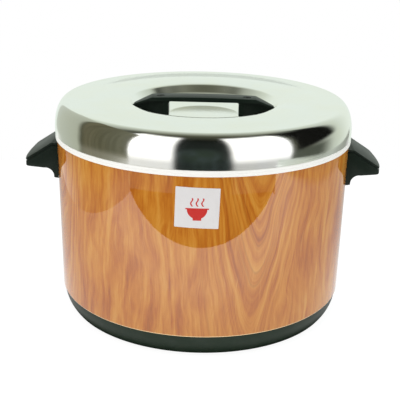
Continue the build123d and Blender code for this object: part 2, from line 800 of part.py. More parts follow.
def main():
    """Builds every piece and writes one file for each."""
    right_handle = make_side_handle()
    right_plate = make_backing_plate()
    right_screws = make_handle_screws()
    pieces = {
        "outer_shell": make_outer_shell(),
        "rim_ring": make_rim_ring(),
        "inner_liner": make_inner_liner(),
        "body_insulation": make_body_insulation(),
        "bottom_plate": make_bottom_plate(),
        "base_pan": make_base_pan(),
        "foot_screws": Compound(children=around_feet(make_base_screw())),
        "side_handle_right": right_handle,
        "side_handle_left": to_left(right_handle),
        "handle_plate_right": right_plate,
        "handle_plate_left": to_left(right_plate),
        "handle_screws_right": right_screws,
        "handle_screws_left": to_left(right_screws),
        "front_label": make_front_label(),
        "lid_cover": make_lid_cover(),
        "lid_rim_ring": make_lid_rim_ring(),
        "lid_gasket": make_lid_gasket(),
        "lid_inner_pan": make_lid_inner_pan(),
        "lid_insulation": make_lid_insulation(),
        "lid_handle": make_lid_handle(),
        "lid_handle_screws": make_lid_handle_screws(),
        "lid_handle_strip": make_lid_handle_strip(),
        "lid_handle_nuts": make_lid_handle_nuts(),
    }
    for index, foot in enumerate(around_feet(make_foot())):
        pieces[f"rubber_foot_{index + 1}"] = foot
    os.makedirs("parts", exist_ok=True)
    for name, piece in pieces.items():
        export_step(piece, f"parts/{name}.step")


main()
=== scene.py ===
"""The looks of a rice warmer: a foam-walled pot in a wood-grain sheet shell, with a polished lid.

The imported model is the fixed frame: +Z up, +X to the right carrying handle, -Y to the front, and the
origin in the plane that the feet stand on. Sizes in the classes are millimetres, as a maker would give
them, and MM turns them into Blender's metres. Heights and radii that the frame knows are read from it.
"""

import logging
import math
from dataclasses import dataclass
from enum import Enum

import bmesh
import bpy
from mathutils import Matrix, Vector


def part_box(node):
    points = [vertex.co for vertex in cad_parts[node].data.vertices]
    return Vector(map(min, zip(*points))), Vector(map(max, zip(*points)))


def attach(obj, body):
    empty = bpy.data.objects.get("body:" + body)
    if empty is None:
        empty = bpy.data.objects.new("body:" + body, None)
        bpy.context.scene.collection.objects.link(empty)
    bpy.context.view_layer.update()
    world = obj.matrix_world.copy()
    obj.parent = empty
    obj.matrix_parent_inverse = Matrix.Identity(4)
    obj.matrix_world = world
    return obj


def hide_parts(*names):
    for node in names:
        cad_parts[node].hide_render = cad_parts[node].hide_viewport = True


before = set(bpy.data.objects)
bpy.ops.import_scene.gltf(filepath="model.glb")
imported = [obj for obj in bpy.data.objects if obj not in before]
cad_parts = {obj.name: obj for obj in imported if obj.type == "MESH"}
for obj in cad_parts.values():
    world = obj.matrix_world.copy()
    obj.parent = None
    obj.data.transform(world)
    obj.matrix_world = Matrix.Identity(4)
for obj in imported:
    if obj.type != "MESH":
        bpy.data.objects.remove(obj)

MM = 0.001
# Faces round a turned piece
TURN_STEPS = 256
# How far a cutting shape reaches past what it cuts, in millimetres
PAST = 1.0
LOG = logging.getLogger("rice_warmer")
Colour = tuple[float, float, float]
Point = tuple[float, float]


class Body(Enum):
    """The two bodies that pieces ride on."""

    POT = "pot"
    LID = "lid"


class View(Enum):
    """The plane that an outline is drawn in, with the axes of its two coordinates."""

    SIDE = ((1, 0, 0), (0, 0, 1))
    PLAN = ((1, 0, 0), (0, 1, 0))


class Cut(Enum):
    """How one closed shape acts on another."""

    AWAY = "DIFFERENCE"
    SHARED = "INTERSECT"
    JOINED = "UNION"


# Shader signals


class Signal:
    """A number on its way through a finish's nodes, with Python's own operators.

    Args:
        bench: The bench that owns the node tree.
        socket: The output socket that carries the number.
    """

    def __init__(self, bench: "Bench", socket: bpy.types.NodeSocket) -> None:
        self.bench = bench
        self.socket = socket

    def math(self, operation: str, *others: "Signal | float") -> "Signal":
        """One Math node with this signal first."""
        values = {index + 1: other for index, other in enumerate(others)}
        return self.bench.node("ShaderNodeMath", {"operation": operation}, {0: self, **values})

    def after(self, operation: str, other: float) -> "Signal":
        """One Math node with a plain number first and this signal second."""
        return self.bench.node("ShaderNodeMath", {"operation": operation}, {0: other, 1: self})

    def __add__(self, other: "Signal | float") -> "Signal":
        """Sum."""
        return self.math("ADD", other)

    __radd__ = __add__

    def __sub__(self, other: "Signal | float") -> "Signal":
        """Difference."""
        return self.math("SUBTRACT", other)

    def __rsub__(self, other: float) -> "Signal":
        """A plain number less this signal."""
        return self.after("SUBTRACT", other)

    def __mul__(self, other: "Signal | float") -> "Signal":
        """Product."""
        return self.math("MULTIPLY", other)

    __rmul__ = __mul__

    def __truediv__(self, other: "Signal | float") -> "Signal":
        """Quotient."""
        return self.math("DIVIDE", other)

    def __rtruediv__(self, other: float) -> "Signal":
        """A plain number over this signal."""
        return self.after("DIVIDE", other)

    def __pow__(self, other: "Signal | float") -> "Signal":
        """Power."""
        return self.math("POWER", other)

    def __neg__(self) -> "Signal":
        """The signal with its sign turned."""
        return self.math("MULTIPLY", -1.0)

    def __abs__(self) -> "Signal":
        """The signal without its sign."""
        return self.math("ABSOLUTE")

    def __lt__(self, other: "Signal | float") -> "Signal":
        """1 where this signal is less, else 0."""
        return self.math("LESS_THAN", other)

    def __gt__(self, other: "Signal | float") -> "Signal":
        """1 where this signal is more, else 0."""
        return self.math("GREATER_THAN", other)

    def smooth(self, low: float, high: float) -> "Signal":
        """A soft step from 0 at low to 1 at high.

        Args:
            low: Where the step starts.
            high: Where it ends, which may be less than low for a falling step.

        Returns:
            The stepped signal.
        """
        settings = {"interpolation_type": "SMOOTHSTEP"}
        values = {"Value": self, "From Min": low, "From Max": high}
        if low >= high:
            values = {"Value": self, "From Min": high, "From Max": low, "To Min": 1.0, "To Max": 0.0}
        return self.bench.node("ShaderNodeMapRange", settings, values)


@dataclass(frozen=True)
class Patches:
    """A layer of stretched noise.

    Attributes:
        width: Width of a patch, in the unit of what runs across.
        height: Height of a patch, in millimetres.
        seed: Which slice of the noise it is.
        detail: How many finer layers are added.
        roughness: How strong those layers are.
    """

    width: float
    height: float
    seed: float
    detail: float = 2.0
    roughness: float = 0.5


class Bench:
    """A node tree that finishes are built on.

    Args:
        tree: The tree of a material or of the world.
    """

    def __init__(self, tree: bpy.types.NodeTree) -> None:
        self.tree = tree

    def node(
        self,
        kind: str,
        settings: dict[str, object] | None = None,
        values: dict[int | str, object] | None = None,
        output: int | str = 0,
    ) -> Signal:
        """Adds one node.

        Args:
            kind: The node's type.
            settings: Its own settings, set first; stops holds a ramp's stops as (place, colour) pairs.
            values: Numbers, colours or signals for its sockets, by index or name.
            output: Which output socket to give back.

        Returns:
            The output as a signal.
        """
        made = self.tree.nodes.new(kind)
        for name, setting in (settings or {}).items():
            if name == "stops":
                self.set_stops(made.color_ramp, setting)
            else:
                setattr(made, name, setting)
        for key, value in (values or {}).items():
            if isinstance(value, Signal):
                self.tree.links.new(value.socket, made.inputs[key])
            else:
                made.inputs[key].default_value = value
        return Signal(self, made.outputs[output])

    @staticmethod
    def set_stops(ramp: bpy.types.ColorRamp, stops: list[tuple[float, Colour]]) -> None:
        """Gives a ramp its stops."""
        while len(ramp.elements) < len(stops):
            ramp.elements.new(1.0)
        for element, (place, colour) in zip(ramp.elements, stops):
            element.position = place
            element.color = (*colour, 1.0)

    def blend(self, factor: Signal | float, first: Signal | Colour, second: Signal | Colour) -> Signal:
        """Mixes two colours.

        Args:
            factor: 0 for the first colour and 1 for the second.
            first: A colour or a colour signal.
            second: A colour or a colour signal.

        Returns:
            The mixed colour.
        """
        a, b = ((*c, 1.0) if isinstance(c, tuple) else c for c in (first, second))
        return self.node("ShaderNodeMix", {"data_type": "RGBA"}, {0: factor, 6: a, 7: b}, 2)

    def place(self) -> tuple[Signal, Signal, Signal]:
        """The point on the object, in millimetres, along X, Y and Z."""
        point = self.node("ShaderNodeTexCoord", output="Object")
        return tuple(
            self.node("ShaderNodeSeparateXYZ", values={0: point}, output=axis) * (1 / MM) for axis in range(3)
        )

    def vector(self, x: Signal | float, y: Signal | float, z: Signal | float) -> Signal:
        """A vector from three numbers."""
        return self.node("ShaderNodeCombineXYZ", values={0: x, 1: y, 2: z})

    def point(self) -> Signal:
        """The point on the object as one vector, in millimetres."""
        return self.vector(*self.place())

    def rays(self, kind: str) -> Signal:
        """1 for one kind of ray, named as Light Path names it, else 0."""
        return self.node("ShaderNodeLightPath", output=kind)

    def noise(self, vector: Signal, scale: float, detail: float = 2.0, roughness: float = 0.5) -> Signal:
        """Soft noise from about 0 to 1.

        Args:
            vector: Where to read it.
            scale: Patches for each unit of the vector.
            detail: How many finer layers are added.
            roughness: How strong those layers are.

        Returns:
            The noise.
        """
        values = {"Vector": vector, "Scale": scale, "Detail": detail, "Roughness": roughness}
        return self.node("ShaderNodeTexNoise", {"noise_dimensions": "3D"}, values)

    def patches(self, layer: Patches, across: Signal, up: Signal) -> Signal:
        """Noise in patches of a width and a height.

        Args:
            layer: The size and kind of the patches.
            across: What their width is measured along.
            up: What their height is measured along.

        Returns:
            The noise.
        """
        where = self.vector(across / layer.width, layer.seed, up / layer.height)
        return self.noise(where, 1.0, layer.detail, layer.roughness)

    def bump(self, height: Signal, depth: float, strength: float = 1.0) -> Signal:
        """A normal from a height signal.

        Args:
            height: The height, about 0 to 1.
            depth: What a height of 1 stands for, in millimetres.
            strength: How much of it shows.

        Returns:
            The normal.
        """
        values = {"Height": height, "Distance": depth * MM, "Strength": strength}
        return self.node("ShaderNodeBump", values=values)

    def glow(self, colour: Signal | Colour, strength: Signal | float = 1.0) -> Signal:
        """A shader that gives light of a colour and nothing else."""
        shown = (*colour, 1.0) if isinstance(colour, tuple) else colour
        return self.node("ShaderNodeEmission", values={"Color": shown, "Strength": strength})

    def surface(self, shader: Signal) -> None:
        """Makes a shader the material's surface."""
        self.tree.links.new(shader.socket, self.tree.nodes["Material Output"].inputs["Surface"])

    def link(self, shader: bpy.types.Node, **signals: Signal) -> None:
        """Links signals to a shader's sockets, by name with underscores for spaces."""
        for name, signal in signals.items():
            self.tree.links.new(signal.socket, shader.inputs[name.replace("_", " ")])

    @staticmethod
    def set(shader: bpy.types.Node, **values: object) -> None:
        """Sets plain values on a shader's sockets, by name with underscores for spaces."""
        for name, value in values.items():
            shader.inputs[name.replace("_", " ")].default_value = value


@dataclass(frozen=True)
class Finish:
    """A surface finish: its base colour and gloss, and the detail that subclasses add.

    Attributes:
        name: The material's name.
        colour: Base colour, linear.
        roughness: From 0, a mirror, to 1, chalk.
        metallic: 1 for bare metal, else 0.
    """

    name: str
    colour: Colour
    roughness: float
    metallic: float = 0.0

    def material(self) -> bpy.types.Material:
        """The finish as a Blender material, made once."""
        found = bpy.data.materials.get(self.name)
        if found is not None:
            return found
        made = bpy.data.materials.new(self.name)
        made.use_nodes = True
        bench = Bench(made.node_tree)
        shader = made.node_tree.nodes["Principled BSDF"]
        base = (*self.colour, 1.0)
        bench.set(shader, Base_Color=base, Roughness=self.roughness, Metallic=self.metallic)
        self.dress(bench, shader)
        return made

    def tinted(self, red: float, green: float, blue: float) -> Colour:
        """The base colour with each part multiplied."""
        return self.colour[0] * red, self.colour[1] * green, self.colour[2] * blue

    def dress(self, bench: Bench, shader: bpy.types.Node) -> None:
        """Adds the finish's own detail; a subclass says what."""
        raise NotImplementedError(self.name)


def from_axis(x: Signal, y: Signal) -> Signal:
    """Distance from the upright axis."""
    return (x * x + y * y).math("SQRT")


@dataclass(frozen=True)
class WoodFilm(Finish):
    """A printed cherry-wood film on steel sheet, under a clear gloss coat.

    Attributes:
        tones: The film's tones from late wood to early wood, as stops of a ramp.
        contrast: How far the pattern is spread over the tones.
        line: Colour of the thin lines of late wood.
        line_share: How much of that colour they take.
        gold: Colour of the brightest streaks.
        gold_share: How much of that colour they take.
        radius: Radius that the print is wrapped at, in millimetres.
        broad: Wide bends of the grain.
        wave: Short bends of the grain.
        lean: Bends that only the fibres follow.
        sway: How far the broad and the short bends push the grain sideways.
        arch_place: Where the arched figure stands, along the wall from the front.
        arch_repeat: From one arched figure to the next.
        arch_reach: Where the figure has faded and where it is full, from its middle.
        arch_round: Roundness of an arch's tip.
        arch_rise: Height between the tips of two arches.
        arch_lift: Share of that rise away from the figure.
        ring_width: Wood between two lines beside an arch.
        ring_sway: How far the broad bends shift the rings.
        bands: Growth rings, across the rings.
        grain: Fine rings, across the rings.
        fibre: Single fibres.
        streak: Streaks of darker and lighter wood.
        glint: The brightest streaks.
        band_shares: Share of the bands away from the figure and in it.
        fine_shares: Shares of the fine rings and of the fibres.
        coat_index: Refractive index of the clear coat.
        edge_height: Height of the bare cut edge, above the origin.
        edge_colour: Colour of that edge.
    """

    tones: tuple[tuple[float, Colour], ...] = (
        (0.28, (0.32, 0.085, 0.010)),
        (0.41, (0.465, 0.138, 0.015)),
        (0.50, (0.545, 0.193, 0.022)),
        (0.59, (0.615, 0.253, 0.035)),
        (0.75, (0.68, 0.345, 0.070)),
    )
    contrast: float = 1.45
    line: Colour = (0.30, 0.085, 0.010)
    line_share: float = 0.36
    gold: Colour = (0.76, 0.40, 0.085)
    gold_share: float = 0.3
    radius: float = 187.0
    broad: Patches = Patches(60.0, 210.0, 0.0)
    wave: Patches = Patches(24.0, 70.0, 3.0)
    lean: Patches = Patches(45.0, 95.0, 17.0)
    sway: Point = (26.0, 9.0)
    arch_place: float = 68.0
    arch_repeat: float = 290.0
    arch_reach: Point = (95.0, 12.0)
    arch_round: float = 0.8
    arch_rise: float = 24.0
    arch_lift: float = 0.2
    ring_width: float = 7.4
    ring_sway: float = 3.0
    bands: Patches = Patches(1 / 0.95, 330.0, 5.0, 3.0, 0.6)
    grain: Patches = Patches(1 / 2.3, 300.0, 9.0, 2.0, 0.6)
    fibre: Patches = Patches(1.7, 60.0, 7.0, 3.0, 0.6)
    streak: Patches = Patches(13.0, 85.0, 11.0, 4.0, 0.58)
    glint: Patches = Patches(3.6, 60.0, 31.0)
    band_shares: Point = (0.15, 0.60)
    fine_shares: Point = (0.12, 0.13)
    coat_index: float = 1.5
    edge_height: float = 29.6
    edge_colour: Colour = (0.85, 0.62, 0.33)

    def dress(self, bench: Bench, shader: bpy.types.Node) -> None:
        """Draws the grain round the wall: arches, bands, fibres and streaks."""
        x, y, z = bench.place()
        along = x.math("ARCTAN2", -y) * self.radius
        broad, wave, lean = (bench.patches(layer, along, z) for layer in (self.broad, self.wave, self.lean))
        bent = along + (broad - 0.5) * self.sway[0] + (wave - 0.5) * self.sway[1]
        leaning = bent + (lean - 0.5) * self.sway[0]
        near, rings = self.figure(bent, broad, z)
        bands, grain = (bench.patches(layer, rings, z) for layer in (self.bands, self.grain))
        fibre, streak, glint = (
            bench.patches(layer, leaning, z) for layer in (self.fibre, self.streak, self.glint)
        )
        plain, full = self.band_shares
        shift = near * (full - plain)
        pattern = bands * (shift + plain) + streak * (full - shift)
        pattern = pattern + grain * self.fine_shares[0] + fibre * self.fine_shares[1]
        tone = (pattern - 0.5) * self.contrast + 0.5
        colour = bench.node("ShaderNodeValToRGB", {"stops": self.tones}, {0: tone})
        colour = bench.blend(grain.smooth(0.53, 0.66) * near * self.line_share, colour, self.line)
        colour = bench.blend(glint.smooth(0.60, 0.76) * self.gold_share, colour, self.gold)
        edge = z.smooth(self.edge_height + 0.3, self.edge_height)
        tooth = fibre * 0.4 + bench.noise(bench.vector(along, 0.0, z), 0.05, 3.0)
        bench.link(
            shader,
            Base_Color=bench.blend(edge, colour, self.edge_colour),
            Metallic=edge,
            Normal=bench.bump(tooth, 0.02),
            Roughness=0.42 + fibre * 0.15 - edge * 0.25,
        )
        bench.set(shader, Coat_Weight=1.0, Coat_Roughness=0.02, Coat_IOR=self.coat_index)
        bench.set(shader, Specular_IOR_Level=0.0)

    def figure(self, bent: Signal, broad: Signal, z: Signal) -> tuple[Signal, Signal]:
        """The arched figure of the wood.

        Args:
            bent: The place along the wall, bent with the grain.
            broad: The broad bends.
            z: Height.

        Returns:
            How near the figure is, from 0 to 1, and a number that rises by one from ring to ring.
        """
        start = self.arch_place - self.arch_repeat / 2
        from_arch = (bent - start).math("FLOORED_MODULO", self.arch_repeat) - self.arch_repeat / 2
        near = abs(from_arch).smooth(*self.arch_reach)
        side = ((from_arch / self.ring_width) ** 2 + self.arch_round).math("SQRT")
        rise = z / self.arch_rise * (near * (1.0 - self.arch_lift) + self.arch_lift)
        return near, side - rise + (broad - 0.5) * self.ring_sway


@dataclass(frozen=True)
class TurnedSheet(Finish):
    """Stainless sheet polished or brushed on a lathe, so its marks run round the axis.

    Attributes:
        ring_scale: Marks for each millimetre of radius and height.
        ring_depth: Depth of the marks, in millimetres.
        cloud: How far the gloss varies over the sheet.
        wipe: Size of a wiped patch along X, Y and Z, in millimetres.
    """

    ring_scale: float = 0.9
    ring_depth: float = 0.004
    cloud: float = 0.03
    wipe: tuple[float, float, float] = (90.0, 14.0, 40.0)

    def dress(self, bench: Bench, shader: bpy.types.Node) -> None:
        """Adds rings, soft clouds of gloss and a little tint."""
        x, y, z = bench.place()
        rings = bench.noise(bench.vector(from_axis(x, y), z * 0.6, 0.0), self.ring_scale, 3.0, 0.7)
        haze = bench.noise(bench.vector(x, y, z), 0.02, 3.0)
        wiped = bench.vector(*(part / size for part, size in zip((x, y, z), self.wipe)))
        wipe = bench.noise(wiped, 1.0, 3.0, 0.6)
        bench.link(
            shader,
            Base_Color=bench.blend(haze.smooth(0.3, 0.7), self.colour, self.tinted(1.0, 0.985, 0.94)),
            Roughness=self.roughness + (rings + wipe - 1.0) * self.cloud,
            Normal=bench.bump(rings, self.ring_depth),
        )


@dataclass(frozen=True)
class Moulded(Finish):
    """A moulded plastic or rubber surface with a fine spark-eroded grain.

    Attributes:
        grain: Grains for each millimetre.
        grain_depth: Depth of the grain, in millimetres.
        wear: How much paler rubbed patches are.
        gloss: How much light the surface itself mirrors; 0.5 is plain plastic.
    """

    grain: float = 1.6
    grain_depth: float = 0.02
    wear: float = 0.15
    gloss: float = 0.5

    def dress(self, bench: Bench, shader: bpy.types.Node) -> None:
        """Adds grain, faint clouds of colour and rubbed patches."""
        point = bench.point()
        grain = bench.noise(point, self.grain, 3.0, 0.6)
        cloud = bench.noise(point, 0.035, 3.0)
        rubbed = tuple(part + (1 - part) * 0.1 for part in self.colour)
        bench.link(
            shader,
            Base_Color=bench.blend(cloud.smooth(0.45, 0.75) * self.wear, self.colour, rubbed),
            Roughness=self.roughness + (cloud - 0.5) * 0.12 + (grain - 0.5) * 0.08,
            Normal=bench.bump(grain, self.grain_depth),
        )
        bench.set(shader, Specular_IOR_Level=self.gloss)


@dataclass(frozen=True)
class ZincPlate(Finish):
    """Zinc-plated steel with its faint crystal patches."""

    def dress(self, bench: Bench, shader: bpy.types.Node) -> None:
        """Adds crystal patches and fine scratches."""
        x, y, z = bench.place()
        where = {"Vector": bench.vector(x, y, z), "Scale": 0.25}
        cells = bench.node("ShaderNodeTexVoronoi", values=where, output="Color")
        tone = bench.node("ShaderNodeSeparateColor", values={0: cells})
        scratch = bench.noise(bench.vector(x * 0.2, y * 3, z), 1.0, 3.0)
        bench.link(
            shader,
            Base_Color=bench.blend(tone, self.tinted(0.8, 0.8, 0.8), self.colour),
            Roughness=self.roughness + (tone - 0.5) * 0.15,
            Normal=bench.bump(scratch, 0.01),
        )


@dataclass(frozen=True)
class Foam(Finish):
    """Rigid foam with open cells where it was cut."""

    def dress(self, bench: Bench, shader: bpy.types.Node) -> None:
        """Adds cells and yellowed patches."""
        point = bench.point()
        cells = bench.node("ShaderNodeTexVoronoi", values={"Vector": point, "Scale": 0.7})
        aged = bench.noise(point, 0.02, 3.0)
        bench.link(
            shader,
            Base_Color=bench.blend(aged.smooth(0.4, 0.8), self.colour, self.tinted(0.85, 0.75, 0.5)),
            Normal=bench.bump(cells, 0.4),
        )


@dataclass(frozen=True)
class PrintedLabel(Finish):
    """Coated white paper with one small printed sign: a bowl with steam over it.

    Attributes:
        ink: Colour of the sign.
        middle: Middle of the sign, as (X, Z) in millimetres.
        bowl_radius: Radius of the bowl.
        foot_share: Half the width of its foot, as a share of that radius.
        steam_pitch: From one curl of steam to the next.
        steam_height: Height of one full curl.
        steam_end: How much further a curl goes on.
        stroke: Width of a stroke.
        blur: Width of the soft end of a stroke.
    """

    ink: Colour = (0.60, 0.018, 0.012)
    middle: Point = (0.0, 0.0)
    bowl_radius: float = 11.5
    foot_share: float = 0.42
    steam_pitch: float = 6.2
    steam_height: float = 9.5
    steam_end: float = 4.0
    stroke: float = 1.7
    blur: float = 0.2

    def dress(self, bench: Bench, shader: bpy.types.Node) -> None:
        """Prints the sign and gives the paper its tooth."""
        point = bench.point()
        tooth = bench.noise(point, 2.5, 3.0)
        shade = bench.blend(bench.noise(point, 0.06, 2.0), self.colour, self.tinted(0.96, 0.96, 0.96))
        bench.link(
            shader,
            Base_Color=bench.blend(self.sign(bench), shade, self.ink),
            Normal=bench.bump(tooth, 0.008),
            Roughness=self.roughness + (tooth - 0.5) * 0.1,
        )
        bench.set(shader, Coat_Weight=0.35, Coat_Roughness=0.12)

    def sign(self, bench: Bench) -> Signal:
        """1 where there is ink, else 0."""
        x, _, z = bench.place()
        across = x - self.middle[0]
        up = z - self.middle[1] + self.stroke
        half = self.stroke * 0.5
        bowl = ((across * across + up * up) < self.bowl_radius ** 2) * (up < 0.0)
        brim = (abs(across) < self.bowl_radius + self.stroke) * (abs(up - self.stroke * 0.4) < half)
        foot = (abs(across) < self.bowl_radius * self.foot_share) * (abs(up + self.bowl_radius) < self.stroke)
        ink = bowl.math("MAXIMUM", brim).math("MAXIMUM", foot)
        sway = (up * (math.tau / self.steam_height)).math("SINE") * (self.stroke * 0.6)
        start, end = self.stroke * 2.0, self.steam_height + self.steam_end
        steam = up.smooth(start, start + self.blur) * up.smooth(end, end - self.blur)
        for side in (-1, 0, 1):
            curl = abs(across - side * self.steam_pitch - sway) < half
            ink = ink.math("MAXIMUM", curl * steam)
        return ink


WOOD = WoodFilm("cherry_wood_film", (0.57, 0.205, 0.022), 0.45)
POLISHED = TurnedSheet("polished_lid_sheet", (0.93, 0.94, 0.92), 0.095, 1.0, ring_scale=2.2, ring_depth=0.018)
BRUSHED = TurnedSheet(
    "brushed_liner_sheet", (0.74, 0.74, 0.72), 0.30, 1.0, ring_scale=1.6, ring_depth=0.02, cloud=0.12
)
WHITE = Moulded("white_rim_plastic", (0.985, 0.98, 0.935), 0.30, grain=0.8, grain_depth=0.006, wear=0.0)
BLACK = Moulded("black_handle_plastic", (0.009, 0.016, 0.011), 0.38, grain_depth=0.015, wear=0.05, gloss=0.09)
BASE_BLACK = Moulded("black_base_plastic", (0.016, 0.028, 0.017), 0.40, grain=1.2, wear=0.1, gloss=0.12)
RUBBER = Moulded("foot_rubber", (0.025, 0.025, 0.025), 0.75, grain=0.9, grain_depth=0.05, wear=0.3)
SILICONE = Moulded("seal_silicone", (0.55, 0.57, 0.54), 0.5, grain=0.5, wear=0.1)
DARK_SCREW = ZincPlate("blackened_screw", (0.006, 0.006, 0.006), 0.5, 1.0)
ZINC = ZincPlate("zinc_plate", (0.62, 0.63, 0.64), 0.32, 1.0)
FOAM = Foam("wall_foam", (0.82, 0.76, 0.52), 0.9)


# Modelling by hand


def deselect() -> None:
    """Clears the selection, so that the next operator acts on its own shape alone."""
    bpy.ops.object.select_all(action="DESELECT")


def alone(thing: bpy.types.Object) -> None:
    """Makes one object the only selected and the active one."""
    deselect()
    thing.select_set(True)
    bpy.context.view_layer.objects.active = thing


def settled(thing: bpy.types.Object) -> bpy.types.Object:
    """Puts an object's place, turn and scale into its mesh."""
    alone(thing)
    bpy.ops.object.transform_apply(location=True, rotation=True, scale=True)
    return thing


def edit(thing: bpy.types.Object) -> None:
    """Opens an object for editing, with nothing in its mesh selected."""
    alone(thing)
    bpy.ops.object.mode_set(mode="EDIT")
    bpy.ops.mesh.select_all(action="DESELECT")


def finish_edit() -> None:
    """Leaves edit mode."""
    bpy.ops.object.mode_set(mode="OBJECT")


def apply(thing: bpy.types.Object, kind: str, **settings: object) -> None:
    """Adds one modifier to an object and applies it.

    Args:
        thing: The object.
        kind: The modifier's type.
        settings: Its settings.
    """
    modifier = thing.modifiers.new(kind.lower(), kind)
    for name, value in settings.items():
        setattr(modifier, name, value)
    alone(thing)
    bpy.ops.object.modifier_apply(modifier=modifier.name)


def volume(thing: bpy.types.Object) -> float:
    """Volume inside a closed shape, in cubic metres."""
    shape = bmesh.new()
    shape.from_mesh(thing.data)
    inside = abs(shape.calc_volume())
    shape.free()
    return inside


def combine(thing: bpy.types.Object, tool: bpy.types.Object, cut: Cut) -> None:
    """Cuts, joins or crosses a closed shape with another, which is used up.

    A result whose volume can't be right is thrown away, and the cut is made again.

    Args:
        thing: The shape that stays.
        tool: The shape that is used up.
        cut: How they act on each other.
    """
    first, second = volume(thing), volume(tool)
    least, most = {
        Cut.AWAY: (max(first - second, 0.0), first),
        Cut.SHARED: (0.0, min(first, second)),
        Cut.JOINED: (max(first, second), first + second),
    }[cut]
    spare = (first + second) * 0.002
    before = thing.data.copy()
    for _ in range(4):
        apply(thing, "BOOLEAN", operation=cut.value, object=tool, solver="EXACT")
        if least - spare <= volume(thing) <= most + spare:
            break
        LOG.warning("a cut of %s went wrong and is made again", thing.name)
        thing.data = before.copy()
    bpy.data.meshes.remove(before)
    bpy.data.objects.remove(tool)


def round_edges(thing: bpy.types.Object, width: float, angle: float = 30.0, segments: int = 3) -> None:
    """Rounds the edges of a shape that are sharper than an angle.

    Args:
        thing: The shape.
        width: Width of the rounding, in millimetres.
        angle: Least angle of an edge that is rounded, in degrees.
        segments: Faces across the rounding.
    """
    apply(
        thing,
        "BEVEL",
        width=width * MM,
        segments=segments,
        limit_method="ANGLE",
        angle_limit=math.radians(angle),
        use_clamp_overlap=True,
    )


def smooth(thing: bpy.types.Object, angle: float = 35.0) -> None:
    """Shades a shape smooth, apart from edges sharper than an angle in degrees."""
    alone(thing)
    bpy.ops.object.shade_smooth_by_angle(angle=math.radians(angle))


def ready(thing: bpy.types.Object, name: str, finish: Finish, body: Body, node: str) -> None:
    """Names, dresses and rides one new piece.

    Args:
        thing: The finished shape.
        name: The piece's name.
        finish: Its finish.
        body: The body that it rides on.
        node: The frame's node that it stands for.
    """
    thing.name = name
    thing.data.name = name
    thing.data.materials.clear()
    thing.data.materials.append(finish.material())
    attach(thing, body.value)
    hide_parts(node)
    LOG.info("%s: %d faces", name, len(thing.data.polygons))


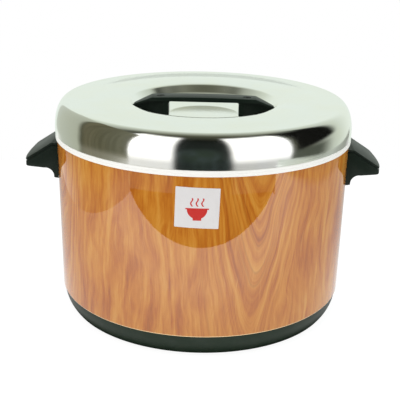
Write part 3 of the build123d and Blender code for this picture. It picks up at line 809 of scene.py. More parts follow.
class Outline:
    """A line drawn edge by edge in one plane, then turned or pushed into a piece.

    Args:
        view: The plane that it is drawn in.
        start: Its first point, in millimetres.
    """

    def __init__(self, view: View, start: Point) -> None:
        self.view = view
        self.at = start
        self.across = Vector(view.value[0])
        self.up = Vector(view.value[1])
        deselect()
        bpy.ops.mesh.primitive_plane_add(size=MM, location=self.spot(start))
        self.thing = settled(bpy.context.object)
        bpy.ops.object.mode_set(mode="EDIT")
        bpy.ops.mesh.select_all(action="SELECT")
        bpy.ops.mesh.merge(type="CENTER")

    def spot(self, point: Point) -> Vector:
        """A point of the outline in Blender's space."""
        return (self.across * point[0] + self.up * point[1]) * MM

    def line(self, *points: Point) -> "Outline":
        """Straight edges to each point in turn.

        Args:
            points: Where the edges end.

        Returns:
            The outline, for the next call.
        """
        for point in points:
            step = self.spot(point) - self.spot(self.at)
            bpy.ops.mesh.extrude_region_move(TRANSFORM_OT_translate={"value": step})
            self.at = point
        return self

    def arc(self, middle: Point, sweep: float, steps: int) -> "Outline":
        """A round arc about a middle, from where the outline is.

        Args:
            middle: The arc's centre.
            sweep: Its angle in degrees, positive anticlockwise.
            steps: How many edges it has.

        Returns:
            The outline, for the next call.
        """
        axis = self.up.cross(self.across)
        bpy.ops.mesh.spin(steps=steps, angle=math.radians(sweep), center=self.spot(middle), axis=axis)
        c, s = math.cos(math.radians(sweep)), math.sin(math.radians(sweep))
        across, up = self.at[0] - middle[0], self.at[1] - middle[1]
        self.at = (middle[0] + across * c - up * s, middle[1] + across * s + up * c)
        return self

    def bend(self, end: Point, radius: float, steps: int) -> "Outline":
        """A round arc of a known radius to a point.

        Args:
            end: Where it ends.
            radius: Its radius, positive where the way turns left and negative where it turns right.
            steps: How many edges it has.

        Returns:
            The outline, for the next call.
        """
        start = Vector(self.at)
        chord = Vector(end) - start
        left = Vector((-chord.y, chord.x)).normalized()
        half = chord.length / 2
        middle = start + chord / 2 + left * math.copysign(math.sqrt(radius ** 2 - half ** 2), radius)
        self.arc(tuple(middle), 2 * math.degrees(math.asin(half / radius)), steps)
        return self

    def turn(self, closed: bool = True) -> bpy.types.Object:
        """Turns the outline about the upright axis.

        Args:
            closed: Whether the outline is closed first, from its last point to its first.

        Returns:
            The turned piece.
        """
        if closed:
            self.close()
        bpy.ops.mesh.select_all(action="SELECT")
        bpy.ops.mesh.spin(steps=TURN_STEPS, angle=math.tau, center=(0, 0, 0), axis=(0, 0, 1))
        bpy.ops.mesh.select_all(action="SELECT")
        bpy.ops.mesh.remove_doubles(threshold=MM * 0.001)
        bpy.ops.mesh.normals_make_consistent(inside=False)
        finish_edit()
        return self.thing

    def close(self) -> None:
        """Joins the outline's two loose ends, unless they meet or both lie on the axis."""
        bpy.ops.mesh.select_all(action="SELECT")
        bpy.ops.mesh.remove_doubles(threshold=MM * 0.001)
        bpy.ops.mesh.select_all(action="DESELECT")
        finish_edit()
        mesh = self.thing.data
        uses = [0] * len(mesh.vertices)
        for side in mesh.edges:
            for index in side.vertices:
                uses[index] += 1
        ends = [vertex for vertex in mesh.vertices if uses[vertex.index] == 1]
        apart = any(abs(vertex.co.x) > MM * 0.001 for vertex in ends)
        for vertex in ends:
            vertex.select = True
        bpy.ops.object.mode_set(mode="EDIT")
        if apart:
            bpy.ops.mesh.edge_face_add()

    def push(self, low: float, high: float) -> bpy.types.Object:
        """Fills the closed outline and pushes it square to its plane, between two places.

        Args:
            low: Where the block starts, along Y for a side view and along Z for a plan.
            high: Where it ends.

        Returns:
            The block.
        """
        self.close()
        bpy.ops.mesh.select_all(action="SELECT")
        bpy.ops.mesh.edge_face_add()
        way = Vector((0, 1, 0)) if self.view is View.SIDE else Vector((0, 0, 1))
        bpy.ops.transform.translate(value=way * low * MM)
        bpy.ops.mesh.extrude_region_move(TRANSFORM_OT_translate={"value": way * (high - low) * MM})
        bpy.ops.mesh.select_all(action="SELECT")
        bpy.ops.mesh.normals_make_consistent(inside=False)
        finish_edit()
        return self.thing


def rod(
    radius: float, low: float, high: float, place: Point, turn: float = 0.0, along: str = "Z", steps: int = 48
) -> bpy.types.Object:
    """A round rod for cutting or joining.

    Args:
        radius: Its radius.
        low: Where it starts along its axis.
        high: Where it ends.
        place: Its other two coordinates: (X, Y) for an upright rod, (Y, Z) for one along X.
        turn: How far it is then turned about the upright axis, in degrees.
        along: Z or X.
        steps: Faces round it.

    Returns:
        The rod.
    """
    middle = (low + high) / 2
    spot, tip = ((*place, middle), 0) if along == "Z" else ((middle, *place), 90)
    deselect()
    bpy.ops.mesh.primitive_cylinder_add(
        vertices=steps,
        radius=radius * MM,
        depth=(high - low) * MM,
        location=Vector(spot) * MM,
        rotation=(0, math.radians(tip), 0),
    )
    made = settled(bpy.context.object)
    return turned_to(made, turn) if turn else made


def turned_to(thing: bpy.types.Object, angle: float) -> bpy.types.Object:
    """Turns a shape about the upright axis by an angle in degrees, in its mesh."""
    thing.rotation_euler = (0, 0, math.radians(angle))
    return settled(thing)


def copied(thing: bpy.types.Object, angle: float) -> bpy.types.Object:
    """A copy with its own mesh, turned about the upright axis by an angle in degrees."""
    alone(thing)
    bpy.ops.object.duplicate(linked=False)
    return turned_to(bpy.context.object, angle)


def face_out(sheet: bpy.types.Object, outward: Vector, at_height: float) -> None:
    """Turns an open sheet's faces so that, at a height, those on the +X side face a given way.

    Args:
        sheet: The open sheet.
        outward: The way that those faces should face.
        at_height: The height in millimetres.
    """
    right = [face for face in sheet.data.polygons if face.center.x > abs(face.center.y)]
    nearest = min(right, key=lambda face: abs(face.center.z - at_height * MM))
    if nearest.normal.dot(outward) < 0:
        edit(sheet)
        bpy.ops.mesh.select_all(action="SELECT")
        bpy.ops.mesh.flip_normals()
        finish_edit()


def pressed(outline: Outline, sheet: float, outward: Vector, at_height: float) -> bpy.types.Object:
    """A turned piece of sheet metal, drawn by one of its faces.

    Args:
        outline: That face's outline, open at its ends.
        sheet: The sheet's thickness in millimetres, laid behind the face.
        outward: The way that the face looks on the +X side.
        at_height: A height in millimetres at which it looks that way.

    Returns:
        The piece.
    """
    made = outline.turn(closed=False)
    face_out(made, outward, at_height)
    apply(made, "SOLIDIFY", thickness=sheet * MM, offset=-1.0, use_even_offset=True)
    return made


def on_circle(middle: Point, radius: float, angle: float) -> Point:
    """The point at an angle in degrees on a circle."""
    turn = math.radians(angle)
    return middle[0] + radius * math.cos(turn), middle[1] + radius * math.sin(turn)


def spun(point: Point, turn: float) -> Point:
    """A point turned anticlockwise about the middle by an angle in radians."""
    c, s = math.cos(turn), math.sin(turn)
    return point[0] * c - point[1] * s, point[0] * s + point[1] * c


def reach(node: str) -> float:
    """How far a node reaches along +X, in millimetres."""
    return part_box(node)[1].x / MM


def heights(node: str) -> tuple[float, float]:
    """The lowest and highest place of a node, in millimetres."""
    low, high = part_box(node)
    return low.z / MM, high.z / MM


@dataclass(frozen=True)
class Sizes:
    """Sizes that several sub-assemblies share; the frame gives the heights and the outer radii.

    Attributes:
        rim: Radius of the white rim.
        shell_low: Lower edge of the wood-grain shell.
        shell_high: Its upper edge, inside the rim ring.
        shell_wide: Its radius there.
        shell_taper: How much narrower it is at its lower edge.
        seam: Height of the seam between the pot's ring and the lid's ring.
        cover_low: Lower edge of the lid's cover.
        cover_high: The cover's highest ring.
        ring_height: Height of each white ring.
        sheet: Thickness of the shell and the liner.
        gap: Room between curved faces that lie against each other.
    """

    rim: float = reach("rim_ring")
    shell_low: float = heights("outer_shell")[0]
    shell_high: float = heights("outer_shell")[1]
    shell_wide: float = reach("outer_shell")
    shell_taper: float = 2.83
    seam: float = heights("rim_ring")[1]
    cover_low: float = heights("lid_cover")[0]
    cover_high: float = heights("lid_cover")[1]
    ring_height: float = 3.5
    sheet: float = 0.8
    gap: float = 0.2

    @property
    def rim_low(self) -> float:
        """Lower edge of the white band."""
        return self.seam - self.ring_height

    def wall(self, z: float) -> float:
        """Radius of the shell's outer face at a height."""
        share = (self.shell_high - z) / (self.shell_high - self.shell_low)
        return self.shell_wide - self.shell_taper * share


SIZES = Sizes()


def outer_band(outline: Outline, low: float, high: float, edge: float) -> Outline:
    """Draws the outside of a white ring, with its two edges rounded.

    Args:
        outline: The ring's outline, which has reached the ring's lower side.
        low: Lower side of the ring.
        high: Upper side of the ring.
        edge: Rounding of its edges.

    Returns:
        The outline.
    """
    inner = SIZES.rim - edge
    outline.line((inner, low)).arc((inner, low + edge), 90, 5)
    return outline.line((SIZES.rim, high - edge)).arc((inner, high - edge), 90, 5)


@dataclass(frozen=True)
class PotCase:
    """The outside of the pot: the sheet shell, the white ring on it and the black pan below it.

    Attributes:
        bend: Radius of the shell's turned-in lower edge.
        flange: How far the shell is turned in past the base pan's edge.
        base_step: Upper edge of the base pan inside the shell.
        base_draw: Edge of the pan's floor inside its upper edge.
        base_wall: Wall of the base pan.
        base_ledge: Width of the ledge that the shell stands on.
        foot_ring: Radius of the circle that the feet stand on.
        foot_room: Radius of a foot's pocket.
        foot_depth: Depth of that pocket.
        boss: Radius and height of the pad over a pocket.
        column: Radius of the column round a base screw.
        screw: Radius of that screw's hole.
        floor_edge: Width and rise of the strip round the pan's floor.
        floor_turn: How much later the pan's side starts its bend for that strip, in degrees.
        screw_row: Distance of the shell's rows of points from the carrying handles' screws.
        drill: How far the drills for those screws reach to either side of the sheet.
        edge: Rounding of the ring's edges.
        leg_depth: How far the ring's leg hangs behind the shell.
        leg_wall: Thickness of that leg.
        flange_room: Radius of the recess for the liner's flange.
        bore: Radius of the ring's hole.
    """

    bend: float = 2.0
    flange: float = 7.5
    base_step: float = 1.4
    base_draw: float = 9.8
    base_wall: float = 3.0
    base_ledge: float = 7.0
    foot_ring: float = 135.0
    foot_room: float = 12.2
    foot_depth: float = 3.0
    boss: Point = (15.2, 3.0)
    column: float = 6.0
    screw: float = 2.1
    floor_edge: Point = (2.0, 0.2)
    floor_turn: float = 0.3
    screw_row: float = 8.0
    drill: float = 6.0
    edge: float = 0.5
    leg_depth: float = 12.0
    leg_wall: float = 2.4
    flange_room: float = 179.3
    bore: float = 171.1

    def build(self) -> None:
        """Makes the three pieces."""
        self.shell()
        self.rim_ring()
        self.base_pan()

    def shell(self) -> None:
        """The sheet shell, drilled for the carrying handles' screws."""
        low, high = SIZES.shell_low, SIZES.shell_high
        bend_z = low + self.bend
        middle = (SIZES.wall(bend_z) - self.bend, bend_z)
        outline = Outline(View.SIDE, (SIZES.wall(low) - self.base_step - self.flange, low))
        outline.line((middle[0], low)).arc(middle, 90, 8)
        screw_z = HANDLE.screw_height
        rows = (screw_z - self.screw_row, screw_z + self.screw_row, SIZES.rim_low - self.edge, high)
        outline.line(*((SIZES.wall(z), z) for z in rows))
        shell = pressed(outline, SIZES.sheet, Vector((1, 0, 0)), (low + high) / 2)
        wall_x = SIZES.wall(screw_z)
        for turn in HANDLE.screw_turns():
            near, far = wall_x - self.drill, wall_x + self.drill
            combine(shell, rod(HANDLE.screw_radius, near, far, (0, screw_z), turn, "X"), Cut.AWAY)
        smooth(shell)
        ready(shell, "wood_grain_shell", WOOD, Body.POT, "outer_shell")

    def rim_ring(self) -> None:
        """The white ring between shell and liner."""
        low, high = SIZES.rim_low, SIZES.seam
        shell_out = SIZES.wall(low) + SIZES.gap
        shell_in = SIZES.wall(low) - SIZES.sheet - SIZES.gap
        leg_z = low - self.leg_depth
        leg_out = SIZES.wall(leg_z) - SIZES.sheet - SIZES.gap
        outline = outer_band(Outline(View.SIDE, (shell_out, low)), low, high, self.edge)
        outline.line(
            (self.flange_room, high),
            (self.flange_room, high - SIZES.sheet),
            (self.bore, high - SIZES.sheet),
            (self.bore, low),
            (leg_out - self.leg_wall, low),
            (leg_out - self.leg_wall, leg_z),
            (leg_out, leg_z),
            (shell_in, low),
            (shell_in, SIZES.shell_high),
            (shell_out, SIZES.shell_high),
        )
        ring = outline.turn()
        smooth(ring)
        ready(ring, "pot_rim_ring", WHITE, Body.POT, "rim_ring")

    def base_pan(self) -> None:
        """The black pan, hollow, with a ledge, and a boss, a column and a pocket for each foot."""
        low, high = heights("base_pan")
        top = reach("base_pan")
        side, rise = self.base_draw, high - low
        bow = (side ** 2 + rise ** 2) / (2 * side)
        sweep = math.degrees(math.asin(rise / bow))
        floor = low + self.base_wall
        inner = bow - self.base_wall
        inner_edge = top - bow + math.sqrt(inner ** 2 - (high - floor) ** 2)
        ledge_x = top - self.base_wall - self.base_ledge
        ledge_z = high - self.base_wall
        outline = Outline(View.SIDE, (0, low))
        width, lift = self.floor_edge
        outline.line((top - side - width, low), (top - side, low + lift))
        outline.arc((top - bow, high), sweep - self.floor_turn, 24)
        outline.line((top, high), (ledge_x, high), (ledge_x, ledge_z), (top - self.base_wall, ledge_z))
        outline.line((inner_edge, floor), (0, floor))
        pan = outline.turn()
        place = (self.foot_ring, 0)
        posts = ((self.boss[0], floor - PAST, floor + self.boss[1]), (self.column, floor, high))
        holes = ((self.foot_room, low + self.foot_depth, 64), (self.screw, high + PAST, 24))
        for turn in (45.0, 135.0, 225.0, 315.0):
            for radius, foot, head in posts:
                combine(pan, rod(radius, foot, head, place, turn), Cut.JOINED)
            for radius, head, steps in holes:
                combine(pan, rod(radius, low - PAST, head, place, turn, steps=steps), Cut.AWAY)
        smooth(pan)
        ready(pan, "black_base_pan", BASE_BLACK, Body.POT, "base_pan")


@dataclass(frozen=True)
class CarryingHandle:
    """A carrying handle: a hollow ear with a sloping cap that a groove sets off.

    Attributes:
        half_width: Half its width across.
        land: Level strip of its top beside the shell.
        slope: Fall of its top outside that strip, in degrees.
        knee: Rounding between strip and slope.
        tip_drop: Underside of the tip below the top.
        skirt_drop: Lower edge of the skirt below the top.
        skirt_wall: Thickness of the skirt's edge.
        root: How far out the underside meets the hollow curve.
        root_rise: How much lower the underside is there.
        throat: Radius of the hollow curve into the skirt.
        bulge: Middle of the tip past its corners.
        corner: Rounding of the corners, seen from above.
        groove: How far the groove lies below the top.
        groove_width: Its width.
        groove_depth: Its depth.
        wall: Wall round the hollow below.
        mount_wall: Wall against the shell.
        screw_angle: Angle of each screw from the handle's middle.
        screw_drop: The screws below the handle's top.
        screw_radius: Radius of a screw's hole.
        screw_reach: How far a screw goes into its boss.
        boss: Radius and length of a screw boss.
        edge: Rounding of the cap's edges.
        lip: Rounding of the ear's edges below the groove.
        inside: Where its blocks start behind the shell's face.
        lap: How far the groove's floor reaches into cap and ear.
        below: How far the shapes that trim it reach below its top.
        above: How far they reach above it.
    """

    half_width: float = 40.0
    land: float = 3.9
    slope: float = 32.8
    knee: float = 6.0
    tip_drop: float = 30.7
    skirt_drop: float = 47.5
    skirt_wall: float = 1.6
    root: float = 14.0
    root_rise: float = 2.6
    throat: float = 11.0
    bulge: float = 5.0
    corner: float = 5.0
    groove: float = 1.8
    groove_width: float = 1.8
    groove_depth: float = 1.5
    wall: float = 4.0
    mount_wall: float = 5.5
    screw_angle: float = 6.8
    screw_drop: float = 21.0
    screw_radius: float = 2.6
    screw_reach: float = 14.3
    boss: Point = (6.0, 17.0)
    edge: float = 0.7
    lip: float = 1.1
    inside: float = 10.0
    lap: float = 0.6
    below: float = 60.0
    above: float = 10.0

    @property
    def top(self) -> float:
        """Height of the level strip."""
        return heights("side_handle_right")[1]

    @property
    def tip(self) -> float:
        """How far the handle reaches from the axis."""
        return reach("side_handle_right")

    @property
    def screw_height(self) -> float:
        """Height of the screws."""
        return self.top - self.screw_drop

    @property
    def root_x(self) -> float:
        """Radius of the shell beside the level strip."""
        return SIZES.wall(self.top)

    @property
    def steepness(self) -> float:
        """Fall of the sloping top for each millimetre outwards."""
        return math.tan(math.radians(self.slope))

    def screw_turns(self) -> tuple[float, ...]:
        """Where the screws of both handles are, as angles from +X."""
        return tuple(side + turn for side in (0.0, 180.0) for turn in (-self.screw_angle, self.screw_angle))

    def start_top(self, drop: float) -> Outline:
        """Draws the handle's top line from inside the shell to past the tip, lowered by a wall."""
        knee_x = self.root_x + self.land - self.knee * math.tan(math.radians(self.slope) / 2)
        outline = Outline(View.SIDE, (self.root_x - self.inside, self.top - drop))
        outline.line((knee_x, self.top - drop))
        if self.knee > drop:
            outline.arc((knee_x, self.top - self.knee), -self.slope, 5)
        return outline.line(self.top_end(drop))

    def top_end(self, drop: float) -> Point:
        """Where the sloping top, lowered by a wall, passes the tip."""
        end_x = self.tip + PAST
        fall = (end_x - self.root_x - self.land) * self.steepness
        return end_x, self.top - drop / math.cos(math.radians(self.slope)) - fall

    def across(self, outline: Outline, room: float, inset: float = 0.0) -> bpy.types.Object:
        """Pushes an outline across the handle and trims it to the outline seen from above.

        Args:
            outline: The outline seen from the side.
            room: How far it is pushed past the handle's sides.
            inset: How far the outline seen from above is moved in.

        Returns:
            The block.
        """
        block = outline.push(-self.half_width - room, self.half_width + room)
        combine(block, self.plan(inset), Cut.SHARED)
        return block

    def band(self, upper: float, lower: float, inset: float) -> bpy.types.Object:
        """A layer of the cap between two depths below the top, moved in from the outline seen from above."""
        outline = self.start_top(upper).line(self.top_end(lower))
        knee_x = self.root_x + self.land - lower * math.tan(math.radians(self.slope) / 2)
        outline.line((knee_x, self.top - lower), (self.root_x - self.inside, self.top - lower))
        return self.across(outline, PAST, inset)

    def plan(self, inset: float) -> bpy.types.Object:
        """An upright block with the handle's outline seen from above, moved in by a wall."""
        half = self.half_width - inset
        bow = (self.half_width ** 2 + self.bulge ** 2) / (2 * self.bulge)
        centre = self.tip - bow
        corner = max(self.corner - inset, 1.0)
        reach_in = bow - inset - corner
        corner_x = centre + math.sqrt(reach_in ** 2 - (half - corner) ** 2)
        lean = math.degrees(math.asin((half - corner) / reach_in))
        outline = Outline(View.PLAN, (self.root_x - self.inside, -half))
        outline.line((corner_x, -half)).arc((corner_x, corner - half), 90 - lean, 8)
        outline.arc((centre, 0), 2 * lean, 24).arc((corner_x, half - corner), 90 - lean, 8)
        outline.line((self.root_x - self.inside, half))
        return outline.push(0, self.top + self.above)

    def body(self) -> bpy.types.Object:
        """The ear below the groove, with the hollow curve into its skirt."""
        tip_z = self.top - self.tip_drop
        skirt_z = self.top - self.skirt_drop
        outline = self.start_top(self.groove + self.groove_width)
        outline.line((self.tip + PAST, tip_z), (self.root_x + self.root, tip_z - self.root_rise))
        outline.bend((self.root_x + self.skirt_wall, skirt_z + self.skirt_wall), self.throat, 12)
        outline.line((self.root_x - self.inside, skirt_z))
        return self.across(outline, PAST)

    def hollow(self) -> bpy.types.Object:
        """The room inside the ear, open below, less its two screw bosses."""
        mount_x = self.root_x + self.mount_wall
        skirt_z = self.top - self.skirt_drop - PAST
        end_x, end_z = self.top_end(self.wall)
        outline = Outline(View.SIDE, (mount_x, skirt_z)).line((end_x, skirt_z), (end_x, end_z))
        outline.line((mount_x, end_z + (end_x - mount_x) * self.steepness))
        room = self.across(outline, 0.0, self.wall)
        radius, length = self.boss
        self.drill(room, radius, self.root_x, self.root_x + length)
        return room

    def drill(self, thing: bpy.types.Object, radius: float, low: float, high: float, steps: int = 48) -> None:
        """Cuts a rod along each screw out of a shape.

        Args:
            thing: The shape.
            radius: Radius of the rods.
            low: Where they start, from the axis.
            high: Where they end.
            steps: Faces round them.
        """
        for turn in (-self.screw_angle, self.screw_angle):
            combine(thing, rod(radius, low, high, (0, self.screw_height), turn, "X", steps), Cut.AWAY)

    def build(self) -> None:
        """Makes the right handle and turns a copy round to the left."""
        ear = self.body()
        round_edges(ear, self.lip)
        cap = self.band(0, self.groove, 0)
        round_edges(cap, self.edge)
        upper, lower = self.groove - self.lap, self.groove + self.groove_width + self.lap
        combine(ear, self.band(upper, lower, self.groove_depth), Cut.JOINED)
        combine(ear, cap, Cut.JOINED)
        combine(ear, self.hollow(), Cut.AWAY)
        low, high = self.top - self.below, self.top + self.above
        cone = Outline(View.SIDE, (0, low))
        cone.line(*((SIZES.wall(z) + SIZES.gap, z) for z in (low, high)), (0, high))
        combine(ear, cone.turn(), Cut.AWAY)
        wall_x = SIZES.wall(self.screw_height)
        self.drill(ear, self.screw_radius, wall_x - 2 * PAST, wall_x + self.screw_reach, 24)
        smooth(ear, 28)
        left = copied(ear, 180)
        ready(ear, "carrying_handle_right", BLACK, Body.POT, "side_handle_right")
        ready(left, "carrying_handle_left", BLACK, Body.POT, "side_handle_left")


HANDLE = CarryingHandle()


@dataclass(frozen=True)
class FrontLabel:
    """The square paper label stuck on the front, a little askew.

    Attributes:
        width: Its width.
        height: Its height.
        offset: Its middle, along X.
        skew: How far it is turned, in degrees, clockwise as seen.
        corner: Rounding of its corners.
        lift: Its inner face off the shell.
        thickness: Thickness of the paper.
        room: How far the shapes that cut it reach past it.
        block: Depth of the block that gives it its outline.
    """

    width: float = 50.0
    height: float = 48.0
    offset: float = -2.3
    skew: float = 1.6
    corner: float = 0.8
    lift: float = 0.05
    thickness: float = 0.3
    room: float = 5.0
    block: float = 30.0

    def build(self) -> None:
        """Cuts the label out of a thin sleeve round the shell."""
        low, high = heights("front_label")
        middle = (self.offset, (low + high) / 2)
        block = self.blank(middle)
        low, high = low - self.room, high + self.room
        inner, outer = self.lift, self.lift + self.thickness
        sleeve = Outline(View.SIDE, (SIZES.wall(low) + inner, low))
        sleeve.line((SIZES.wall(low) + outer, low), (SIZES.wall(high) + outer, high))
        sleeve.line((SIZES.wall(high) + inner, high))
        combine(block, sleeve.turn(), Cut.SHARED)
        smooth(block)
        finish = PrintedLabel("label_paper", (0.79, 0.77, 0.765), 0.35, middle=middle)
        ready(block, "paper_label", finish, Body.POT, "front_label")

    def blank(self, middle: Point) -> bpy.types.Object:
        """A block in front of the shell with the label's outline, turned askew."""
        across, up, corner = self.width / 2, self.height / 2, self.corner
        outline = Outline(View.SIDE, (corner - across, -up))
        for quarter in range(4):
            turn = math.radians(90 * quarter)
            wide, tall = (across, up) if quarter % 2 == 0 else (up, across)
            outline.line(spun((wide - corner, -tall), turn))
            outline.arc(spun((wide - corner, corner - tall), turn), 90, 4)
        front = -SIZES.rim - self.room
        block = outline.push(front, front + self.block)
        block.location = Vector((middle[0], 0, middle[1])) * MM
        block.rotation_euler = (0, math.radians(self.skew), 0)
        return settled(block)


@dataclass(frozen=True)
class Liner:
    """The steel pot that the rice goes in.

    Attributes:
        radius: Radius of its inside.
        corner: Rounding of its bottom corner.
        flange: Width of the flange that rests on the rim ring.
        lip: Radius of the bend into the flange.
        floor_rings: Radii of the rows of points across its floor.
    """

    radius: float = 170.0
    corner: float = 20.0
    flange: float = 8.2
    lip: float = 1.2
    floor_rings: Point = (60.0, 120.0)

    def build(self) -> None:
        """Draws the liner's inside and gives it its sheet thickness outwards."""
        low, high = heights("inner_liner")
        floor, corner = low + SIZES.sheet, self.corner
        outline = Outline(View.SIDE, (0, floor))
        outline.line(*((x, floor) for x in self.floor_rings), (self.radius - corner, floor))
        outline.arc((self.radius - corner, floor + corner), 90, 14)
        outline.line((self.radius, high - self.lip)).arc((self.radius + self.lip, high - self.lip), -90, 5)
        outline.line((self.radius + SIZES.sheet + self.flange, high))
        liner = pressed(outline, SIZES.sheet, Vector((-1, 0, 0)), (low + high) / 2)
        smooth(liner)
        ready(liner, "rice_liner", BRUSHED, Body.POT, "inner_liner")


@dataclass(frozen=True)
class LidShell:
    """The lid's polished cover, its white ring and the steel pan under it.

    Attributes:
        foot_inset: Lower edge of the cover inside the rim.
        hem: Height of the hem turned in at the cover's edge.
        belly: Widest part of the cover past the rim.
        belly_height: Upper end of that upright part above the cover's edge.
        shoulder: Width and height of the rounded shoulder.
        land: Inner end of the level ring on the top, as a radius.
        step: Width and rise of the step inside that ring.
        mouth: Radius at which the top rolls into the recess.
        roll: Radius and angle of that roll.
        edge: Radius of the recess's edge.
        wall_slope: Slope of the recess's wall, in degrees.
        bowl: Radius of the bend from wall to bowl.
        bowl_slope: Slope of the bowl.
        floor_blend: Radius of the bend from bowl to floor.
        floor: Radius of the level floor.
        depth: Depth of the recess.
        sheet: Thickness of the cover and the pan.
        screw: Radius of the handle's screw holes.
        screw_place: How far they are from the axis.
        pan: Radius of the pan under the lid.
        pan_corner: Rounding of the pan's bottom corner.
        pan_flange: Width of the pan's flange.
        edge_round: Rounding of the white ring's edges.
        seal: Outer radius and width of the seal's groove.
        seal_depth: Depth of that groove.
        upstand_room: Room between the ring's upstand and the cover.
        pan_rings: Radii of the rows of points across the pan's floor.
        drill: How far a screw's drill starts below the recess's floor.
    """

    foot_inset: float = 0.5
    hem: float = 0.5
    belly: float = 0.1
    belly_height: float = 6.6
    shoulder: Point = (15.3, 33.5)
    land: float = 151.0
    step: Point = (4.0, 1.2)
    mouth: float = 118.0
    roll: Point = (79.2, 15.0)
    edge: float = 6.0
    wall_slope: float = 47.0
    bowl: float = 13.0
    bowl_slope: float = 11.0
    floor_blend: float = 40.0
    floor: float = 44.0
    depth: float = 22.0
    sheet: float = 0.6
    screw: float = 2.6
    screw_place: float = 55.5
    pan: float = 164.4
    pan_corner: float = 8.0
    pan_flange: float = 9.6
    edge_round: float = 0.5
    seal: Point = (177.7, 5.4)
    seal_depth: float = 2.5
    upstand_room: float = 0.3
    pan_rings: Point = (50.0, 110.0)
    drill: float = 5.0

    @property
    def floor_height(self) -> float:
        """Height of the recess's floor."""
        return SIZES.cover_high - self.depth

    def skin(self, inset: float, solid: bool = False) -> Outline:
        """Draws the cover's upper face from its lower edge to the axis.

        Args:
            inset: How far it is moved in, or out if negative.
            solid: Whether the outline starts on the axis, to enclose all under the skin.

        Returns:
            The outline.
        """
        top, low = SIZES.cover_high, SIZES.cover_low
        land_z = top - self.step[1]
        belly_z = low + self.belly_height
        wide, tall = self.shoulder
        shoulder_x = SIZES.rim + self.belly - wide
        foot = (SIZES.rim - self.foot_inset - inset, low)
        outline = Outline(View.SIDE, (0, low)).line(foot) if solid else Outline(View.SIDE, foot)
        outline.line(*((SIZES.rim + self.belly - inset, z) for z in (low + self.hem, belly_z)))
        steps = 40
        for index in range(1, steps + 1):
            turn = math.radians(90 * index / steps)
            x = shoulder_x + (wide - inset) * math.cos(turn)
            outline.line((x, belly_z + (tall - inset) * math.sin(turn)))
        outline.line((self.land, land_z - inset), (self.land - self.step[0], top - inset))
        outline.line((self.mouth, top - inset))
        roll_radius, roll_angle = self.roll
        outline.arc((self.mouth, top - roll_radius), roll_angle, 6)
        edge_middle = on_circle((self.mouth, top - roll_radius), roll_radius - self.edge, 90 + roll_angle)
        outline.arc(edge_middle, self.wall_slope - roll_angle, 10)
        bowl_middle, blend_middle = self.bowl_middles(edge_middle)
        outline.line(on_circle(bowl_middle, self.bowl + inset, self.wall_slope - 90))
        outline.arc(bowl_middle, self.bowl_slope - self.wall_slope, 12)
        start = Vector(outline.at)
        end = Vector(on_circle(blend_middle, self.floor_blend + inset, self.bowl_slope - 90))
        outline.line(*(tuple(start.lerp(end, share / 6)) for share in range(1, 7)))
        outline.arc(blend_middle, -self.bowl_slope, 4)
        outline.line((self.floor / 2, self.floor_height - inset), (0, self.floor_height - inset))
        return outline

    def bowl_middles(self, edge_middle: Point) -> tuple[Point, Point]:
        """Middles of the bends from the recess's wall to its bowl and from the bowl to its floor.

        Args:
            edge_middle: Middle of the recess's edge.

        Returns:
            The two middles.
        """
        wall_top = on_circle(edge_middle, self.edge, 90 + self.wall_slope)
        blend_middle = (self.floor, self.floor_height + self.floor_blend)
        cone_foot = on_circle(blend_middle, self.floor_blend, self.bowl_slope - 90)
        steep = math.tan(math.radians(self.wall_slope))
        gentle = math.tan(math.radians(self.bowl_slope))
        rise = wall_top[1] - cone_foot[1] + cone_foot[0] * gentle - wall_top[0] * steep
        corner_x = rise / (gentle - steep)
        corner = (corner_x, cone_foot[1] + (corner_x - cone_foot[0]) * gentle)
        run = self.bowl * math.tan(math.radians((self.wall_slope - self.bowl_slope) / 2))
        bowl_foot = on_circle(corner, run, self.bowl_slope + 180)
        return on_circle(bowl_foot, self.bowl, self.bowl_slope + 90), blend_middle

    def build(self) -> None:
        """Makes the cover, the ring and the pan."""
        self.cover()
        self.ring()
        self.inner_pan()

    def cover(self) -> None:
        """The polished cover, drilled for the handle's screws."""
        cover = pressed(self.skin(0), self.sheet, Vector((1, 0, 0)), SIZES.cover_low + self.belly_height / 2)
        for side in (-1, 1):
            place = (side * self.screw_place, 0)
            low = self.floor_height - self.drill
            combine(cover, rod(self.screw, low, SIZES.cover_high, place, steps=24), Cut.AWAY)
        smooth(cover, 25)
        ready(cover, "polished_lid_cover", POLISHED, Body.LID, "lid_cover")

    def ring(self) -> None:
        """The white ring that carries cover, pan and seal."""
        low, high = SIZES.seam, SIZES.cover_low
        upstand = SIZES.rim - self.foot_inset - self.sheet - self.upstand_room
        inner = self.pan + SIZES.gap
        top = heights("lid_rim_ring")[1]
        seal_out, seal_wide = self.seal
        seal_in = seal_out - seal_wide
        outline = outer_band(Outline(View.SIDE, (seal_out, low)), low, high, self.edge_round)
        outline.line((upstand, high), (upstand, top), (inner, top), (inner, low), (seal_in, low))
        outline.line((seal_in, low + self.seal_depth), (seal_out, low + self.seal_depth))
        ring = outline.turn()
        smooth(ring)
        ready(ring, "lid_white_ring", WHITE, Body.LID, "lid_rim_ring")

    def inner_pan(self) -> None:
        """The steel pan that hangs into the liner."""
        low, high = heights("lid_inner_pan")
        radius, corner = self.pan, self.pan_corner + self.sheet
        outline = Outline(View.SIDE, (0, low))
        outline.line(*((x, low) for x in self.pan_rings), (radius - corner, low))
        outline.arc((radius - corner, low + corner), 90, 10)
        outline.line((radius, high - self.sheet), (radius + self.pan_flange, high - self.sheet))
        pan = pressed(outline, self.sheet, Vector((1, 0, 0)), (low + high) / 2)
        smooth(pan)
        ready(pan, "lid_steel_pan", BRUSHED, Body.LID, "lid_inner_pan")


LID = LidShell()


